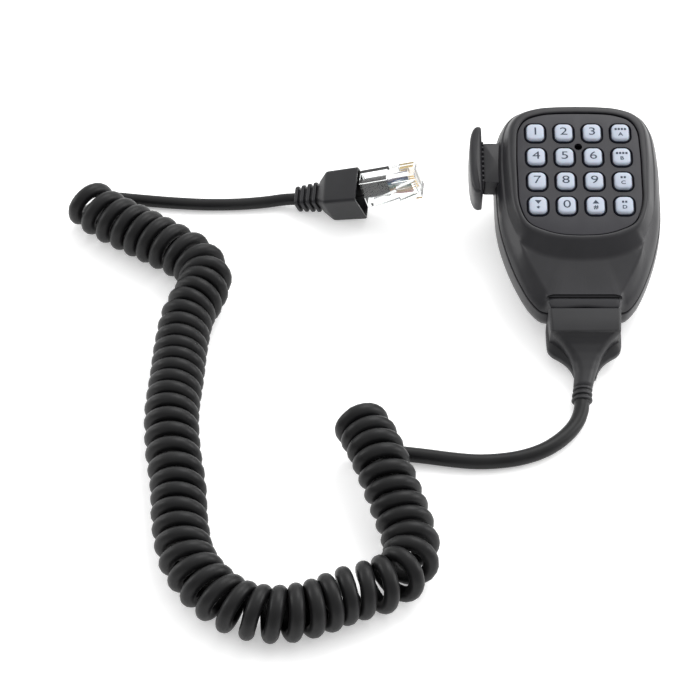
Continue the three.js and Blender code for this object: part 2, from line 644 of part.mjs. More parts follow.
// One rounded rectangle across the boot's axis: thick towards the near side, wide up the plug's width.
function bootSection(x, thick, wide, radius) {
  const steps = 6;
  const corners = [[1, 1], [-1, 1], [-1, -1], [1, -1]];
  return corners.flatMap(([sx, sy], quarter) => Array.from({ length: steps }, (_, i) => {
    const angle = (quarter + i / (steps - 1)) * (Math.PI / 2);
    return new THREE.Vector3(
      sx * (thick / 2 - radius) + radius * Math.cos(angle),
      sy * (wide / 2 - radius) + radius * Math.sin(angle),
      x,
    );
  }));
}

function plugBoot() {
  const rings = [];
  for (let i = 0; i < BOOT_RIBS; i += 1) {
    const start = BOOT_END_X + i * BOOT_RIB_PITCH;
    const thick = 8.4 + i * 0.4;
    const wide = 7.2 + i * 0.45;
    rings.push(
      bootSection(start, thick, wide, 2.4),
      bootSection(start + 1.3, thick, wide, 2.4),
      bootSection(start + 1.6, thick - 1.8, wide - 1.8, 1.9),
      bootSection(start + 2.2, thick - 1.8, wide - 1.8, 1.9),
    );
  }
  rings.push(
    bootSection(-16, 10, 9.4, 2.2),
    bootSection(-12.8, BOOT_SIZE - 0.8, BOOT_SIZE - 0.8, 1.6),
    bootSection(0, BOOT_SIZE, BOOT_SIZE, 1.4),
  );
  const hood = closedStack([
    bootSection(-12, 9.6, 9.2, 1),
    bootSection(-9, BOOT_SIZE - 3, BOOT_SIZE - 3, 1),
    bootSection(1, BOOT_SIZE - 2.2, BOOT_SIZE - 2.2, 0.8),
  ]);
  const bore = closedStack([bootSection(BOOT_END_X - 1, 5.2, 5.2, 2.5), bootSection(-11, 5.2, 5.2, 2.5)]);
  return cut(closedStack(rings), hood, bore).rotateY(Math.PI / 2);
}

// A solid through rings of equal count, closed by a fan at each end.
function closedStack(rings) {
  const count = rings[0].length;
  const index = [];
  for (let k = 0; k + 1 < rings.length; k += 1) {
    for (let i = 0; i < count; i += 1) {
      const next = (i + 1) % count;
      const low = k * count;
      index.push(low + i, low + next, low + count + next, low + i, low + count + next, low + count + i);
    }
  }
  const top = (rings.length - 1) * count;
  for (let i = 1; i + 1 < count; i += 1) {
    index.push(0, i + 1, i, top, top + i, top + i + 1);
  }
  const geometry = new THREE.BufferGeometry();
  const flat = rings.flat().flatMap((p) => [p.x, p.y, p.z]);
  geometry.setAttribute('position', new THREE.Float32BufferAttribute(flat, 3));
  geometry.setIndex(index);
  return geometry;
}

function plugParts(part) {
  const bootFrame = axisFrame([-74.8, 40.2, 12.1], -10, 17, -16);
  node(bootFrame, 'plug_boot', 'rubber', plugBoot());
  part.add(bootFrame);
  const plug = axisFrame([-74, 42, 12.4], -5, 18, 4);
  node(plug, 'plug_body', 'clear', plugBody());
  node(plug, 'plug_latch', 'clear', plugLatch());
  for (let i = 0; i < CONTACTS; i += 1) {
    const y = contactY(i);
    const back = -PLUG_THICK / 2;
    const blade = box([15, y - 0.16, back + 0.25], [PLUG_LENGTH - 1.3, y + 0.16, back + 1.7]);
    node(plug, `plug_contact_${i + 1}`, 'gold', blade);
  }
  node(plug, 'core_ribbon', 'cores', box([10.6, -4, -0.9], [18, 4, 0.2]));
  part.add(plug);
}

// ---------------------------------------------------------------- assembly

const part = new THREE.Group();
const mic = new THREE.Group();
mic.rotation.x = TILT;
caseParts(mic);
keypadParts(mic);
talkParts(mic);
node(mic, 'strain_relief', 'rubber', strainRelief());

const extent = new THREE.Box3().setFromObject(mic, true);
mic.position.set(MIC_ORIGIN_X, MIC_ORIGIN_Y, -extent.min.z);

// The microphone, cord and plug as they lie, moved so that the microphone's box is centred on the origin.
const laid = new THREE.Group();
laid.add(mic);
cordParts(laid);
plugParts(laid);
laid.position.y = -(extent.min.y + extent.max.y) / 2 - MIC_ORIGIN_Y;
part.add(laid);

export default part;
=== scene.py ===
"""Hand microphone with a curly cord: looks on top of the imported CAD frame. Metres, +Z up."""

import json
import math

import bmesh
import bpy
from mathutils import Matrix, Vector


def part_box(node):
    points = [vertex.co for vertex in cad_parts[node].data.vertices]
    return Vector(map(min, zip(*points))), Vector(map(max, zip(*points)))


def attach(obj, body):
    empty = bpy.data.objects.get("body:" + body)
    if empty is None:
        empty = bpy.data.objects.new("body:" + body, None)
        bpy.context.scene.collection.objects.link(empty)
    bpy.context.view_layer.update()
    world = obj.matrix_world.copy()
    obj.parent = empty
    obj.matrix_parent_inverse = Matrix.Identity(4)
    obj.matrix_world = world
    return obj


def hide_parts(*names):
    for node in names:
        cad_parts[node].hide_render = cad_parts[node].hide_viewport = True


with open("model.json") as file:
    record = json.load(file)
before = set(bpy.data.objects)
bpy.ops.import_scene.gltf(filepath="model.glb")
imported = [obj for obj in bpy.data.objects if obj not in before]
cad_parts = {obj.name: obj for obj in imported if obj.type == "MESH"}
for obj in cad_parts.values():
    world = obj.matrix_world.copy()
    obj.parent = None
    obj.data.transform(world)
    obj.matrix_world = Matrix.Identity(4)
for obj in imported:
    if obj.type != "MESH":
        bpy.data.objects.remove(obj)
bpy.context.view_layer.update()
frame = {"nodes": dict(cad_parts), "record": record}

MM = 0.001
NODES = frame["nodes"]


def place(x, y, z):
    """A point given in millimetres of the row frame."""
    return Vector((x, y, z)) * MM


# Moves the cord and the plug as laid, so that the microphone is centred on the origin.
LAID_SHIFT = place(0, -1.26138, 0)


# -------------------- camera

SENSOR_WIDTH = 36
CAMERA_ELEVATION = math.radians(48)
CAMERA_DISTANCE = 0.906
CAMERA_LENS = 128.57
CAMERA_TARGET = place(-79.5, -28.7, 0) + LAID_SHIFT


def make_camera():
    """Sets the scene's camera and returns the direction from the object to it."""
    data = bpy.data.cameras.new("camera")
    data.lens = CAMERA_LENS
    data.sensor_width = SENSOR_WIDTH
    data.clip_start = 0.01
    data.clip_end = 20
    camera = bpy.data.objects.new("camera", data)
    bpy.context.scene.collection.objects.link(camera)
    away = Vector((0, -math.cos(CAMERA_ELEVATION), math.sin(CAMERA_ELEVATION)))
    camera.location = CAMERA_TARGET + CAMERA_DISTANCE * away
    camera.rotation_euler = (math.pi / 2 - CAMERA_ELEVATION, 0, 0)
    bpy.context.scene.camera = camera
    return away


TOWARDS_CAMERA = make_camera()

# -------------------- microphone and plug frames

MIC_TILT = Matrix.Rotation(math.radians(14), 3, "X")
CAPSULE_CENTRE = place(0, 60.3, -10.7)


def box_centre(node):
    low, high = (Vector(corner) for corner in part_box(node))
    return (low + high) / 2


MIC_ORIGIN = box_centre("microphone_capsule") - MIC_TILT @ CAPSULE_CENTRE
MIC = Matrix.Translation(MIC_ORIGIN) @ MIC_TILT.to_4x4()


def axis_frame(origin, azimuth, pitch, roll):
    """X along a plug's axis, Y up its width and Z out of its latch side. Angles in degrees."""
    azimuth, pitch, roll = (math.radians(angle) for angle in (azimuth, pitch, roll))
    level = math.cos(pitch)
    along = Vector((level * math.cos(azimuth), level * math.sin(azimuth), math.sin(pitch)))
    near = along.cross(Vector((0, 0, 1))).normalized()
    up = near.cross(along)
    turn = Matrix.Rotation(-roll, 3, along)
    near = turn @ near
    up = turn @ up
    basis = Matrix((along, up, near)).transposed().to_4x4()
    return Matrix.Translation(origin) @ basis


PLUG = axis_frame(place(-74, 42, 12.4) + LAID_SHIFT, -5, 18, 4)
BOOT = axis_frame(place(-74.8, 40.2, 12.1) + LAID_SHIFT, -10, 17, -16)

# -------------------- the cord

CORD_RADIUS = 2.7 * MM
PLUG_CORD_RADIUS = 2.3 * MM
HELIX_RADIUS = 7.05 * MM
POINTS_PER_TURN = 24
COIL_TURNS = (0.72, 55.42)
AXIS_STEP = 0.6
TAIL_STEP = 1.6
# Steps of the axis on each side over which the coil's direction is taken.
AXIS_REACH = 8
# The points on each side of a join that are eased, and how often.
JOIN_REACH = 8
JOIN_ROUNDS = 6
# Points over which the cord narrows after the coil.
TAPER_POINTS = 14

# The stretch between the strain relief and the coil, in millimetres.
MIC_TAIL_ROUTE = [
    (2.1, -55.8, 4.2), (2.4, -58.2, 3.9), (1.9, -61.2, 3.4), (0, -66, 2.8), (-4.6, -72.2, 2.7),
    (-11.6, -77.9, 2.7), (-19.5, -81.3, 2.7), (-27.5, -82.9, 2.7), (-35.5, -83.3, 2.7),
    (-44, -82.4, 2.7), (-53, -80.9, 2.7), (-62, -79.6, 2.7), (-70, -79, 3.3), (-77, -78.6, 5.4),
]

# The coil's axis in millimetres, then the number of turns up to there.
COIL_ROUTE = [
    (-77.5, -74.5, 15.8, 0.5), (-73.1, -82.7, 15.8, 2), (-69, -93.8, 15.6, 4),
    (-65, -105.4, 13.6, 6), (-61.2, -116.5, 11, 8), (-59, -126.5, 9.9, 9.5),
    (-60.6, -134.6, 9.9, 10.7), (-67.6, -141, 9.9, 11.9), (-80, -145.7, 9.9, 13.8),
    (-91.5, -151.2, 9.9, 16), (-103.8, -153.6, 9.9, 18), (-116.4, -150.8, 9.9, 20),
    (-126.6, -142.3, 9.9, 22), (-133.3, -131.6, 9.9, 24), (-136.5, -117.5, 9.9, 26.3),
    (-138, -100.4, 9.9, 29), (-140.6, -83.5, 9.9, 31.5), (-141.7, -67.3, 9.9, 34),
    (-140.7, -50.9, 9.9, 37), (-139.8, -34.9, 9.9, 40), (-137.9, -20.5, 9.9, 42.5),
    (-133.8, -9.5, 9.9, 44.5), (-132.6, -1, 9.9, 46), (-137, 6.6, 9.9, 47.3),
    (-146.6, 14, 9.9, 49), (-159, 22.3, 9.9, 51.5), (-169, 29, 9.9, 53.4), (-177.6, 36, 9.9, 55),
]

# The stretch between the coil and the plug, and on into the boot, in millimetres.
PLUG_TAIL_ROUTE = [
    (-174.6, 43.9, 2.6), (-170, 46.9, 2.3), (-163.5, 46.6, 2.3), (-155, 45.6, 2.3), (-146, 44.6, 2.3),
    (-134, 43.8, 2.3), (-122, 44, 2.3), (-112, 44.8, 2.6), (-104.5, 45.4, 3.4), (-99.2, 44.6, 4.6),
    (-91, 43, 7.2), (-82.5, 41.6, 9.8), (-75, 41.6, 12), (-67, 41.1, 14.7),
]


def spline_through(points, step):
    """Evenly stepped points on a centripetal Catmull-Rom curve. Only x, y and z set the spacing."""
    def lerp(a, b, share):
        return [x + (y - x) * share for x, y in zip(a, b)]

    def distance(a, b):
        return max(math.dist(a[:3], b[:3]), 1e-9)

    ends = [lerp(points[1], points[0], 2), *points, lerp(points[-2], points[-1], 2)]
    out = []
    for p0, p1, p2, p3 in zip(ends, ends[1:], ends[2:], ends[3:]):
        t1 = distance(p0, p1) ** 0.5
        t2 = t1 + distance(p1, p2) ** 0.5
        t3 = t2 + distance(p2, p3) ** 0.5
        count = max(1, round(distance(p1, p2) / step))
        for i in range(count):
            t = t1 + (t2 - t1) * i / count
            a1 = lerp(p0, p1, t / t1)
            a2 = lerp(p1, p2, (t - t1) / (t2 - t1))
            a3 = lerp(p2, p3, (t - t2) / (t3 - t2))
            b1 = lerp(a1, a2, t / t2)
            b2 = lerp(a2, a3, (t - t1) / (t3 - t1))
            out.append(lerp(b1, b2, (t - t1) / (t2 - t1)))
    out.append(list(points[-1]))
    return out


def helix_points(first_turn, last_turn):
    """The coil, left-handed, with each whole turn crossing its side towards the camera."""
    axis = spline_through(COIL_ROUTE, AXIS_STEP)
    out = []
    k = 0
    steps = round((last_turn - first_turn) * POINTS_PER_TURN)
    for i in range(steps + 1):
        turn = first_turn + (last_turn - first_turn) * i / steps
        while k + 2 < len(axis) and axis[k + 1][3] < turn:
            k += 1
        a, b = axis[k], axis[k + 1]
        share = (turn - a[3]) / (b[3] - a[3])
        centre = place(*a[:3]).lerp(place(*b[:3]), share)
        low = axis[max(k - AXIS_REACH, 0)]
        high = axis[min(k + 1 + AXIS_REACH, len(axis) - 1)]
        along = (place(*high[:3]) - place(*low[:3])).normalized()
        near = (TOWARDS_CAMERA - along * TOWARDS_CAMERA.dot(along)).normalized()
        side = along.cross(near)
        angle = -2 * math.pi * turn
        out.append(centre + HELIX_RADIUS * (math.cos(angle) * near + math.sin(angle) * side))
    return out


def ease_join(line, at):
    """Smooths the line for a few points on each side of a join."""
    span = slice(at - JOIN_REACH, at + JOIN_REACH)
    points = line[span]
    for _ in range(JOIN_ROUNDS):
        middle = [(a + 2 * b + c) / 4 for a, b, c in zip(points, points[1:], points[2:])]
        points = [points[0], *middle, points[-1]]
    line[span] = points


def cord_line():
    """The whole cord as one line, from inside the strain relief to inside the plug."""
    coil = helix_points(*COIL_TURNS)
    mic_tail = spline_through([*MIC_TAIL_ROUTE, tuple(coil[0] / MM)], TAIL_STEP)
    plug_tail = spline_through([tuple(coil[-1] / MM), *PLUG_TAIL_ROUTE], TAIL_STEP)
    line = [place(*p) for p in mic_tail[:-1]] + coil + [place(*p) for p in plug_tail[1:]]
    coil_start = len(mic_tail) - 1
    coil_end = coil_start + len(coil) - 1
    ease_join(line, coil_start)
    ease_join(line, coil_end)
    return [point + LAID_SHIFT for point in line], coil_end


def make_cord():
    """The cord as a curve, and the points that it runs through. Each point holds its radius."""
    line, taper_start = cord_line()
    data = bpy.data.curves.new("curly_cord", "CURVE")
    data.dimensions = "3D"
    data.bevel_depth = 1
    data.bevel_resolution = 6
    data.use_fill_caps = True
    spline = data.splines.new("POLY")
    spline.points.add(len(line) - 1)
    for i, (point, p) in enumerate(zip(spline.points, line)):
        share = min(max((i - taper_start) / TAPER_POINTS, 0), 1)
        point.co = (*p, 1)
        point.radius = CORD_RADIUS + (PLUG_CORD_RADIUS - CORD_RADIUS) * share
    spline.use_smooth = True
    cord = bpy.data.objects.new("curly_cord", data)
    bpy.context.scene.collection.objects.link(cord)
    return cord, line


cord, cord_points = make_cord()
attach(cord, "microphone")
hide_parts("mic_tail", "curly_coil", "plug_tail")


# -------------------- materials

MOTTLE_FEATURE = 0.011


def new_material(name, color, roughness, **sockets):
    material = bpy.data.materials.new(name)
    material.use_nodes = True
    shader = material.node_tree.nodes["Principled BSDF"]
    shader.inputs["Base Color"].default_value = (*color, 1)
    shader.inputs["Roughness"].default_value = roughness
    for socket, value in sockets.items():
        shader.inputs[socket.replace("_", " ")].default_value = value
    return material


def add_node(material, kind, **settings):
    node = material.node_tree.nodes.new(kind)
    for key, value in settings.items():
        if key in node.inputs:
            node.inputs[key].default_value = value
        else:
            setattr(node, key, value)
    return node


def link(material, source, target):
    material.node_tree.links.new(source, target)


def grain(material, feature, height, strength=0.5, detail=3.0):
    """A fine moulded texture: bumps of that feature size and height. Returns its coordinates."""
    shader = material.node_tree.nodes["Principled BSDF"]
    coords = add_node(material, "ShaderNodeTexCoord")
    noise = add_node(material, "ShaderNodeTexNoise", Scale=1 / feature, Detail=detail)
    bump = add_node(material, "ShaderNodeBump", Strength=strength, Distance=height)
    link(material, coords.outputs["Object"], noise.inputs["Vector"])
    link(material, noise.outputs["Fac"], bump.inputs["Height"])
    link(material, bump.outputs["Normal"], shader.inputs["Normal"])
    return coords


def mottle(material, coords, dark, light, rough_low, rough_high):
    """Broad, weak variation of colour and gloss, as handling leaves."""
    shader = material.node_tree.nodes["Principled BSDF"]
    noise = add_node(
        material, "ShaderNodeTexNoise", Scale=1 / MOTTLE_FEATURE, Detail=4.0, Roughness=0.6
    )
    link(material, coords.outputs["Object"], noise.inputs["Vector"])
    ramp = add_node(material, "ShaderNodeValToRGB")
    ramp.color_ramp.elements[0].position = 0.3
    ramp.color_ramp.elements[0].color = (*dark, 1)
    ramp.color_ramp.elements[1].position = 0.7
    ramp.color_ramp.elements[1].color = (*light, 1)
    link(material, noise.outputs["Fac"], ramp.inputs["Fac"])
    link(material, ramp.outputs["Color"], shader.inputs["Base Color"])
    spread = add_node(material, "ShaderNodeMapRange")
    spread.inputs["To Min"].default_value = rough_low
    spread.inputs["To Max"].default_value = rough_high
    link(material, noise.outputs["Fac"], spread.inputs["Value"])
    link(material, spread.outputs["Result"], shader.inputs["Roughness"])


def paint_edge_highlight(material, highlight_color, amount):
    """Painted highlight: lightens the proud edges a little, where glints fall."""
    shader = material.node_tree.nodes["Principled BSDF"]
    base = shader.inputs["Base Color"].links[0].from_socket
    geometry = add_node(material, "ShaderNodeNewGeometry")
    edge = add_node(material, "ShaderNodeMapRange")
    edge.inputs["From Min"].default_value = 0.53
    edge.inputs["From Max"].default_value = 0.62
    edge.inputs["To Max"].default_value = amount
    mix = add_node(material, "ShaderNodeMix", data_type="RGBA")
    mix.inputs["B"].default_value = (*highlight_color, 1)
    link(material, geometry.outputs["Pointiness"], edge.inputs["Value"])
    link(material, edge.outputs["Result"], mix.inputs["Factor"])
    link(material, base, mix.inputs["A"])
    link(material, mix.outputs["Result"], shader.inputs["Base Color"])


def moulded(name, dark, light, rough, feature, height, edge_highlight=0.0, gloss=0.35):
    """Moulded plastic or rubber: its two tones, roughness, grain, painted edge highlight and specular
    level.
    """
    material = new_material(name, dark, rough, Specular_IOR_Level=gloss)
    coords = grain(material, feature, height)
    mottle(material, coords, dark, light, rough - 0.05, rough + 0.06)
    # Painted highlight on the proud edges: a lighter colour where glints fall.
    if edge_highlight:
        paint_edge_highlight(material, [3 * c for c in light], edge_highlight)
    return material


def key_plastic():
    material = moulded(
        "key_plastic", (0.42, 0.465, 0.55), (0.455, 0.5, 0.585), 0.4, 0.0006, 0.00001
    )
    shader = material.node_tree.nodes["Principled BSDF"]
    shader.inputs["Subsurface Weight"].default_value = 0.12
    shader.inputs["Subsurface Scale"].default_value = 0.001
    return material


def brushed_metal(name, color, rough):
    """Metal with fine streaks of gloss."""
    material = new_material(name, color, rough, Metallic=1.0)
    shader = material.node_tree.nodes["Principled BSDF"]
    coords = add_node(material, "ShaderNodeTexCoord")
    stretch = add_node(material, "ShaderNodeMapping")
    stretch.inputs["Scale"].default_value = (400, 6000, 400)
    noise = add_node(material, "ShaderNodeTexNoise", Scale=1.0, Detail=2.0)
    spread = add_node(material, "ShaderNodeMapRange")
    spread.inputs["To Min"].default_value = rough - 0.08
    spread.inputs["To Max"].default_value = rough + 0.12
    link(material, coords.outputs["Object"], stretch.inputs["Vector"])
    link(material, stretch.outputs["Vector"], noise.inputs["Vector"])
    link(material, noise.outputs["Fac"], spread.inputs["Value"])
    link(material, spread.outputs["Result"], shader.inputs["Roughness"])
    return material


def clear_plastic():
    material = new_material(
        "clear_plastic", (0.97, 0.985, 0.98), 0.04, Transmission_Weight=1.0, IOR=1.49
    )
    grain(material, 0.004, 0.00008, strength=0.25, detail=1.0)
    return material


# -------------------- mesh helpers

def mesh_object(name, vertices, faces, matrix):
    """An object from vertices in millimetres of the frame that the matrix stands for."""
    mesh = bpy.data.meshes.new(name)
    mesh.from_pydata([matrix @ (Vector(v) * MM) for v in vertices], [], faces)
    mesh.validate()
    obj = bpy.data.objects.new(name, mesh)
    bpy.context.scene.collection.objects.link(obj)
    return obj


def face_outwards(obj):
    bm = bmesh.new()
    bm.from_mesh(obj.data)
    bmesh.ops.recalc_face_normals(bm, faces=bm.faces)
    bm.to_mesh(obj.data)
    bm.free()


def smooth(obj, angle=35):
    """Smooth shading, but for edges sharper than the angle in degrees."""
    obj.data.shade_smooth()
    obj.data.set_sharp_from_angle(angle=math.radians(angle))


def solid(name, shape, matrix, angle=35):
    """A closed shape as an object with its faces outwards."""
    obj = mesh_object(name, *shape, matrix)
    face_outwards(obj)
    smooth(obj, angle)
    return obj


def apply_modifiers(obj):
    evaluated = obj.evaluated_get(bpy.context.evaluated_depsgraph_get())
    mesh = bpy.data.meshes.new_from_object(evaluated)
    obj.modifiers.clear()
    obj.data = mesh


def cut(obj, *tools):
    """Cuts the tools out of the object, and removes them."""
    for cutter in tools:
        face_outwards(cutter)
        step = obj.modifiers.new("cut", "BOOLEAN")
        step.operation = "DIFFERENCE"
        step.solver = "EXACT"
        step.object = cutter
    bpy.context.view_layer.update()
    apply_modifiers(obj)
    for cutter in tools:
        bpy.data.objects.remove(cutter)


def merged(shapes):
    """One shape, as (vertices, faces), from several."""
    vertices, faces = [], []
    for points, polygons in shapes:
        faces += [tuple(len(vertices) + i for i in polygon) for polygon in polygons]
        vertices += points
    return vertices, faces


def stack(rings, close=False):
    """A shape through rings of equal count. close joins the last to the first, or both are capped."""
    count = len(rings[0])
    vertices = [p for ring in rings for p in ring]
    faces = []
    pairs = list(zip(range(len(rings)), range(1, len(rings))))
    if close:
        pairs.append((len(rings) - 1, 0))
    for low, high in pairs:
        for i in range(count):
            j = (i + 1) % count
            faces.append((low * count + i, low * count + j, high * count + j, high * count + i))
    if not close:
        for ring, base in ((rings[0], 0), (rings[-1], (len(rings) - 1) * count)):
            centre = [sum(p[axis] for p in ring) / count for axis in range(3)]
            vertices.append(centre)
            for i in range(count):
                faces.append((base + i, base + (i + 1) % count, len(vertices) - 1))
    return vertices, faces


def tool(rings):
    """A cutting tool in the microphone's frame."""
    return mesh_object("tool", *stack(rings), MIC)


def block(low, high):
    """A box-shaped cutting tool."""
    (x0, y0, z0), (x1, y1, z1) = low, high
    return tool([[(x0, y0, z), (x1, y0, z), (x1, y1, z), (x0, y1, z)] for z in (z0, z1)])


def circle(count):
    """Angles evenly round a circle."""
    return [2 * math.pi * i / count for i in range(count)]


def round_ring(radius, y, z, sides):
    """A level ring of points about (0, y)."""
    return [(radius * math.cos(t), y + radius * math.sin(t), z) for t in circle(sides)]


def rounded_rectangle(width, height, radius, z, per_corner=9, x=0, y=0):
    """A level ring of points about (x, y)."""
    points = []
    for quarter, (sx, sy) in enumerate(((1, 1), (-1, 1), (-1, -1), (1, -1))):
        for i in range(per_corner):
            angle = (quarter + i / (per_corner - 1)) * math.pi / 2
            points.append((
                x + sx * (width / 2 - radius) + radius * math.cos(angle),
                y + sy * (height / 2 - radius) + radius * math.sin(angle),
                z,
            ))
    return points


def finish_piece(obj, material, body="microphone", stands_for=()):
    """Gives a piece its material, unless it has its own, and its place in the frame."""
    if material:
        obj.data.materials.append(material)
    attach(obj, body)
    if stands_for:
        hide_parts(*stands_for)
    return obj


# -------------------- case outlines

# The right half of each outline, from the head to the cord end, in millimetres of the microphone's
# frame: X across, Y towards the head, Z out of the keypad, with the rim's top at Z 0.
PARTING_OUTLINE = [
    (0, 80.7), (10, 80.5), (18.4, 79.5), (25.4, 76), (28.7, 69.6), (29.8, 60), (29.9, 47), (29.3, 32),
    (26.6, 19), (22.8, 8), (19, 0.3), (15.3, -3.9), (12.8, -4.5), (0, -4.5),
]
SHOULDER_OUTLINE = [
    (0, 80.1), (9, 79.9), (16.8, 79), (23.8, 75.6), (27, 69.4), (28.1, 60), (28, 47), (26.6, 34.5),
    (23.4, 24.5), (20.4, 15.2), (16.5, 7.4), (13.1, 0), (12.4, -4.5), (0, -4.5),
]
RIM_FOOT_OUTLINE = [
    (0, 79.8), (9, 79.6), (16.5, 78.7), (23.4, 75.4), (26.6, 69.4), (27.7, 60), (27.5, 45), (26.2, 32),
    (23.4, 22.7), (17.4, 17.6), (9, 14.9), (0, 14.2),
]
RIM_OUTLINE = [
    (0, 78), (8, 77.8), (14.2, 77.1), (20.6, 74.8), (24.2, 70.4), (25.3, 62), (25, 48), (24, 34.5),
    (20.8, 26.8), (14.5, 23.1), (7, 21.4), (0, 21),
]
PANEL_OUTLINE = [
    (0, 75.2), (8, 75), (13.4, 74.4), (19.2, 72.1), (22, 67.8), (22.8, 60), (22.9, 46), (22.4, 35.5),
    (19.4, 27.9), (13.4, 24.4), (7, 22.7), (0, 22.3),
]
CASE_CENTRE_Y = 46
# Each case piece is drawn through one profile for each of these rays from the case's centre.
RAYS = 240
OUTLINE_STEP = 0.25
CORNER_STEPS = 5
PARTING_Z = -10
# How far the shells' lips reach in from the parting outline.
LIP = 2.2
SHOULDER_Z = -4.6
CHIN_CREST_Z = -3.4
CHIN_CREST_Y = 18
CHIN_END_Z = -5
SHOULDER_LEVEL_Y = 32
BACK_Z = -29.5
BACK_END_Z = -22
FLAT_BACK_FROM_Y = 36
BODY_END_Y = -4.5
SEAM = 0.5
PANEL_SEAT_Z = -2.4
PANEL_LEDGE = 1.4
LEDGE_UNDERSIDE_Z = -4.4
ROOF_Z = -6.8
# The size of each corner of the front shell's profile, from the parting up to the rim's foot.
FRONT_ROUNDING = [0, 0.5, 2.5, 1.1, 1.0]
# How far the rear shell's top edge stands proud of the front shell.
REAR_PROUD = 0.3
REAR_FLOOR_INSET = 4.8
REAR_WALL = 2
# Each pair is a share of the depth and the inset there. A negative inset is a bulge.
REAR_OUTSIDE = ((0.45, -0.95), (0.86, 1.4), (1.0, REAR_FLOOR_INSET))
REAR_INSIDE = ((0, LIP), (0.5, 3.2), (0.9, 6), (0.9, 18))
REAR_ROUNDING = [0, 0.35, 3, 3, 1.6]
TALK_SLOT = ((-42, 48.6, -16.4), (-20, 66.4, -6.6))
RELIEF_NOTCH = ((-8.2, BODY_END_Y - 3, -16), (8.2, BODY_END_Y + 4, -8))
CHIN_SLIT = ((-12.7, -0.75, CHIN_END_Z - 1.6), (12.7, -0.25, 0))
GROOVE_HALF_LENGTH = 13.6
# The groove turns down over the last stretch at each end.
GROOVE_TURN = 2.4
GROOVE_DROP = 1.3


def map_range(value, low, high, first, last):
    """Runs from first to last as the value runs from low to high, and stays there beyond."""
    share = min(max((value - low) / (high - low), 0), 1)
    return first + (last - first) * share


def radii(half):
    """The outline's distance from the case's centre along each ray of the right half."""
    dense = spline_through([(x, y - CASE_CENTRE_Y, 0) for x, y in half], OUTLINE_STEP)
    polar = sorted((math.atan2(max(x, 0), y), math.hypot(x, y)) for x, y, _ in dense)
    out = []
    k = 0
    for i in range(RAYS // 2 + 1):
        angle = 2 * math.pi * i / RAYS
        while k + 2 < len(polar) and polar[k + 1][0] < angle:
            k += 1
        (a0, r0), (a1, r1) = polar[k], polar[k + 1]
        out.append(map_range(angle, a0, a1, r0, r1))
    return out


def ray_point(i, radius):
    """A point in the case's plane on ray i of the whole circle."""
    angle = 2 * math.pi * i / RAYS
    return radius * math.sin(angle), CASE_CENTRE_Y + radius * math.cos(angle)


def half_index(i):
    """The ray of the right half that mirrors ray i."""
    return min(i, RAYS - i)


def shoulder_z(y):
    """Height of the shoulder, which rises to a crest above the chin."""
    if y < CHIN_CREST_Y:
        return map_range(y, 0, CHIN_CREST_Y, CHIN_END_Z, CHIN_CREST_Z)
    return map_range(y, CHIN_CREST_Y, SHOULDER_LEVEL_Y, CHIN_CREST_Z, SHOULDER_Z)


def back_z(y):
    """Height of the back, which slopes up towards the cord end."""
    return map_range(y, BODY_END_Y, FLAT_BACK_FROM_Y, BACK_END_Z, BACK_Z)


def rounded_profile(points, rounding):
    """A polyline in (radius, z) with each corner turned into a short curve."""
    out = [points[0]]
    for before, corner, after, size in zip(points, points[1:], points[2:], rounding[1:]):
        if size == 0:
            out.append(corner)
            continue
        ends = []
        for other in (before, after):
            length = math.dist(corner, other)
            share = min(size, 0.45 * length) / max(length, 1e-6)
            ends.append([c + (o - c) * share for c, o in zip(corner, other)])
        for i in range(CORNER_STEPS):
            t = i / (CORNER_STEPS - 1)
            weights = ((1 - t) ** 2, 2 * t * (1 - t), t * t)
            pulls = (ends[0], corner, ends[1])
            out.append(tuple(sum(w * p[axis] for w, p in zip(weights, pulls)) for axis in range(2)))
    out.append(points[-1])
    return out


def ring_stack(profile_at, close):
    """A shape through one (radius, z) profile for each ray."""
    profiles = [profile_at(i) for i in range(RAYS)]
    rings = [
        [(*ray_point(i, radius), z) for i, (radius, z) in enumerate(level)]
        for level in zip(*profiles)
    ]
    return stack(rings, close=close)


# -------------------- case

def groove_tool():
    """A round-bottomed channel across the cord end that turns down a little at both ends."""
    rings = []
    for step in range(33):
        x = GROOVE_HALF_LENGTH * (step / 16 - 1)
        turned = max(abs(x) - (GROOVE_HALF_LENGTH - GROOVE_TURN), 0) / GROOVE_TURN
        drop = GROOVE_DROP * turned
        y = -0.5 - drop * 0.4
        z = CHIN_END_Z + 0.3 - drop * 0.3
        rings.append([(x, y + 0.95 * math.cos(t), z + 0.9 * math.sin(t)) for t in circle(20)])
    return tool(rings)


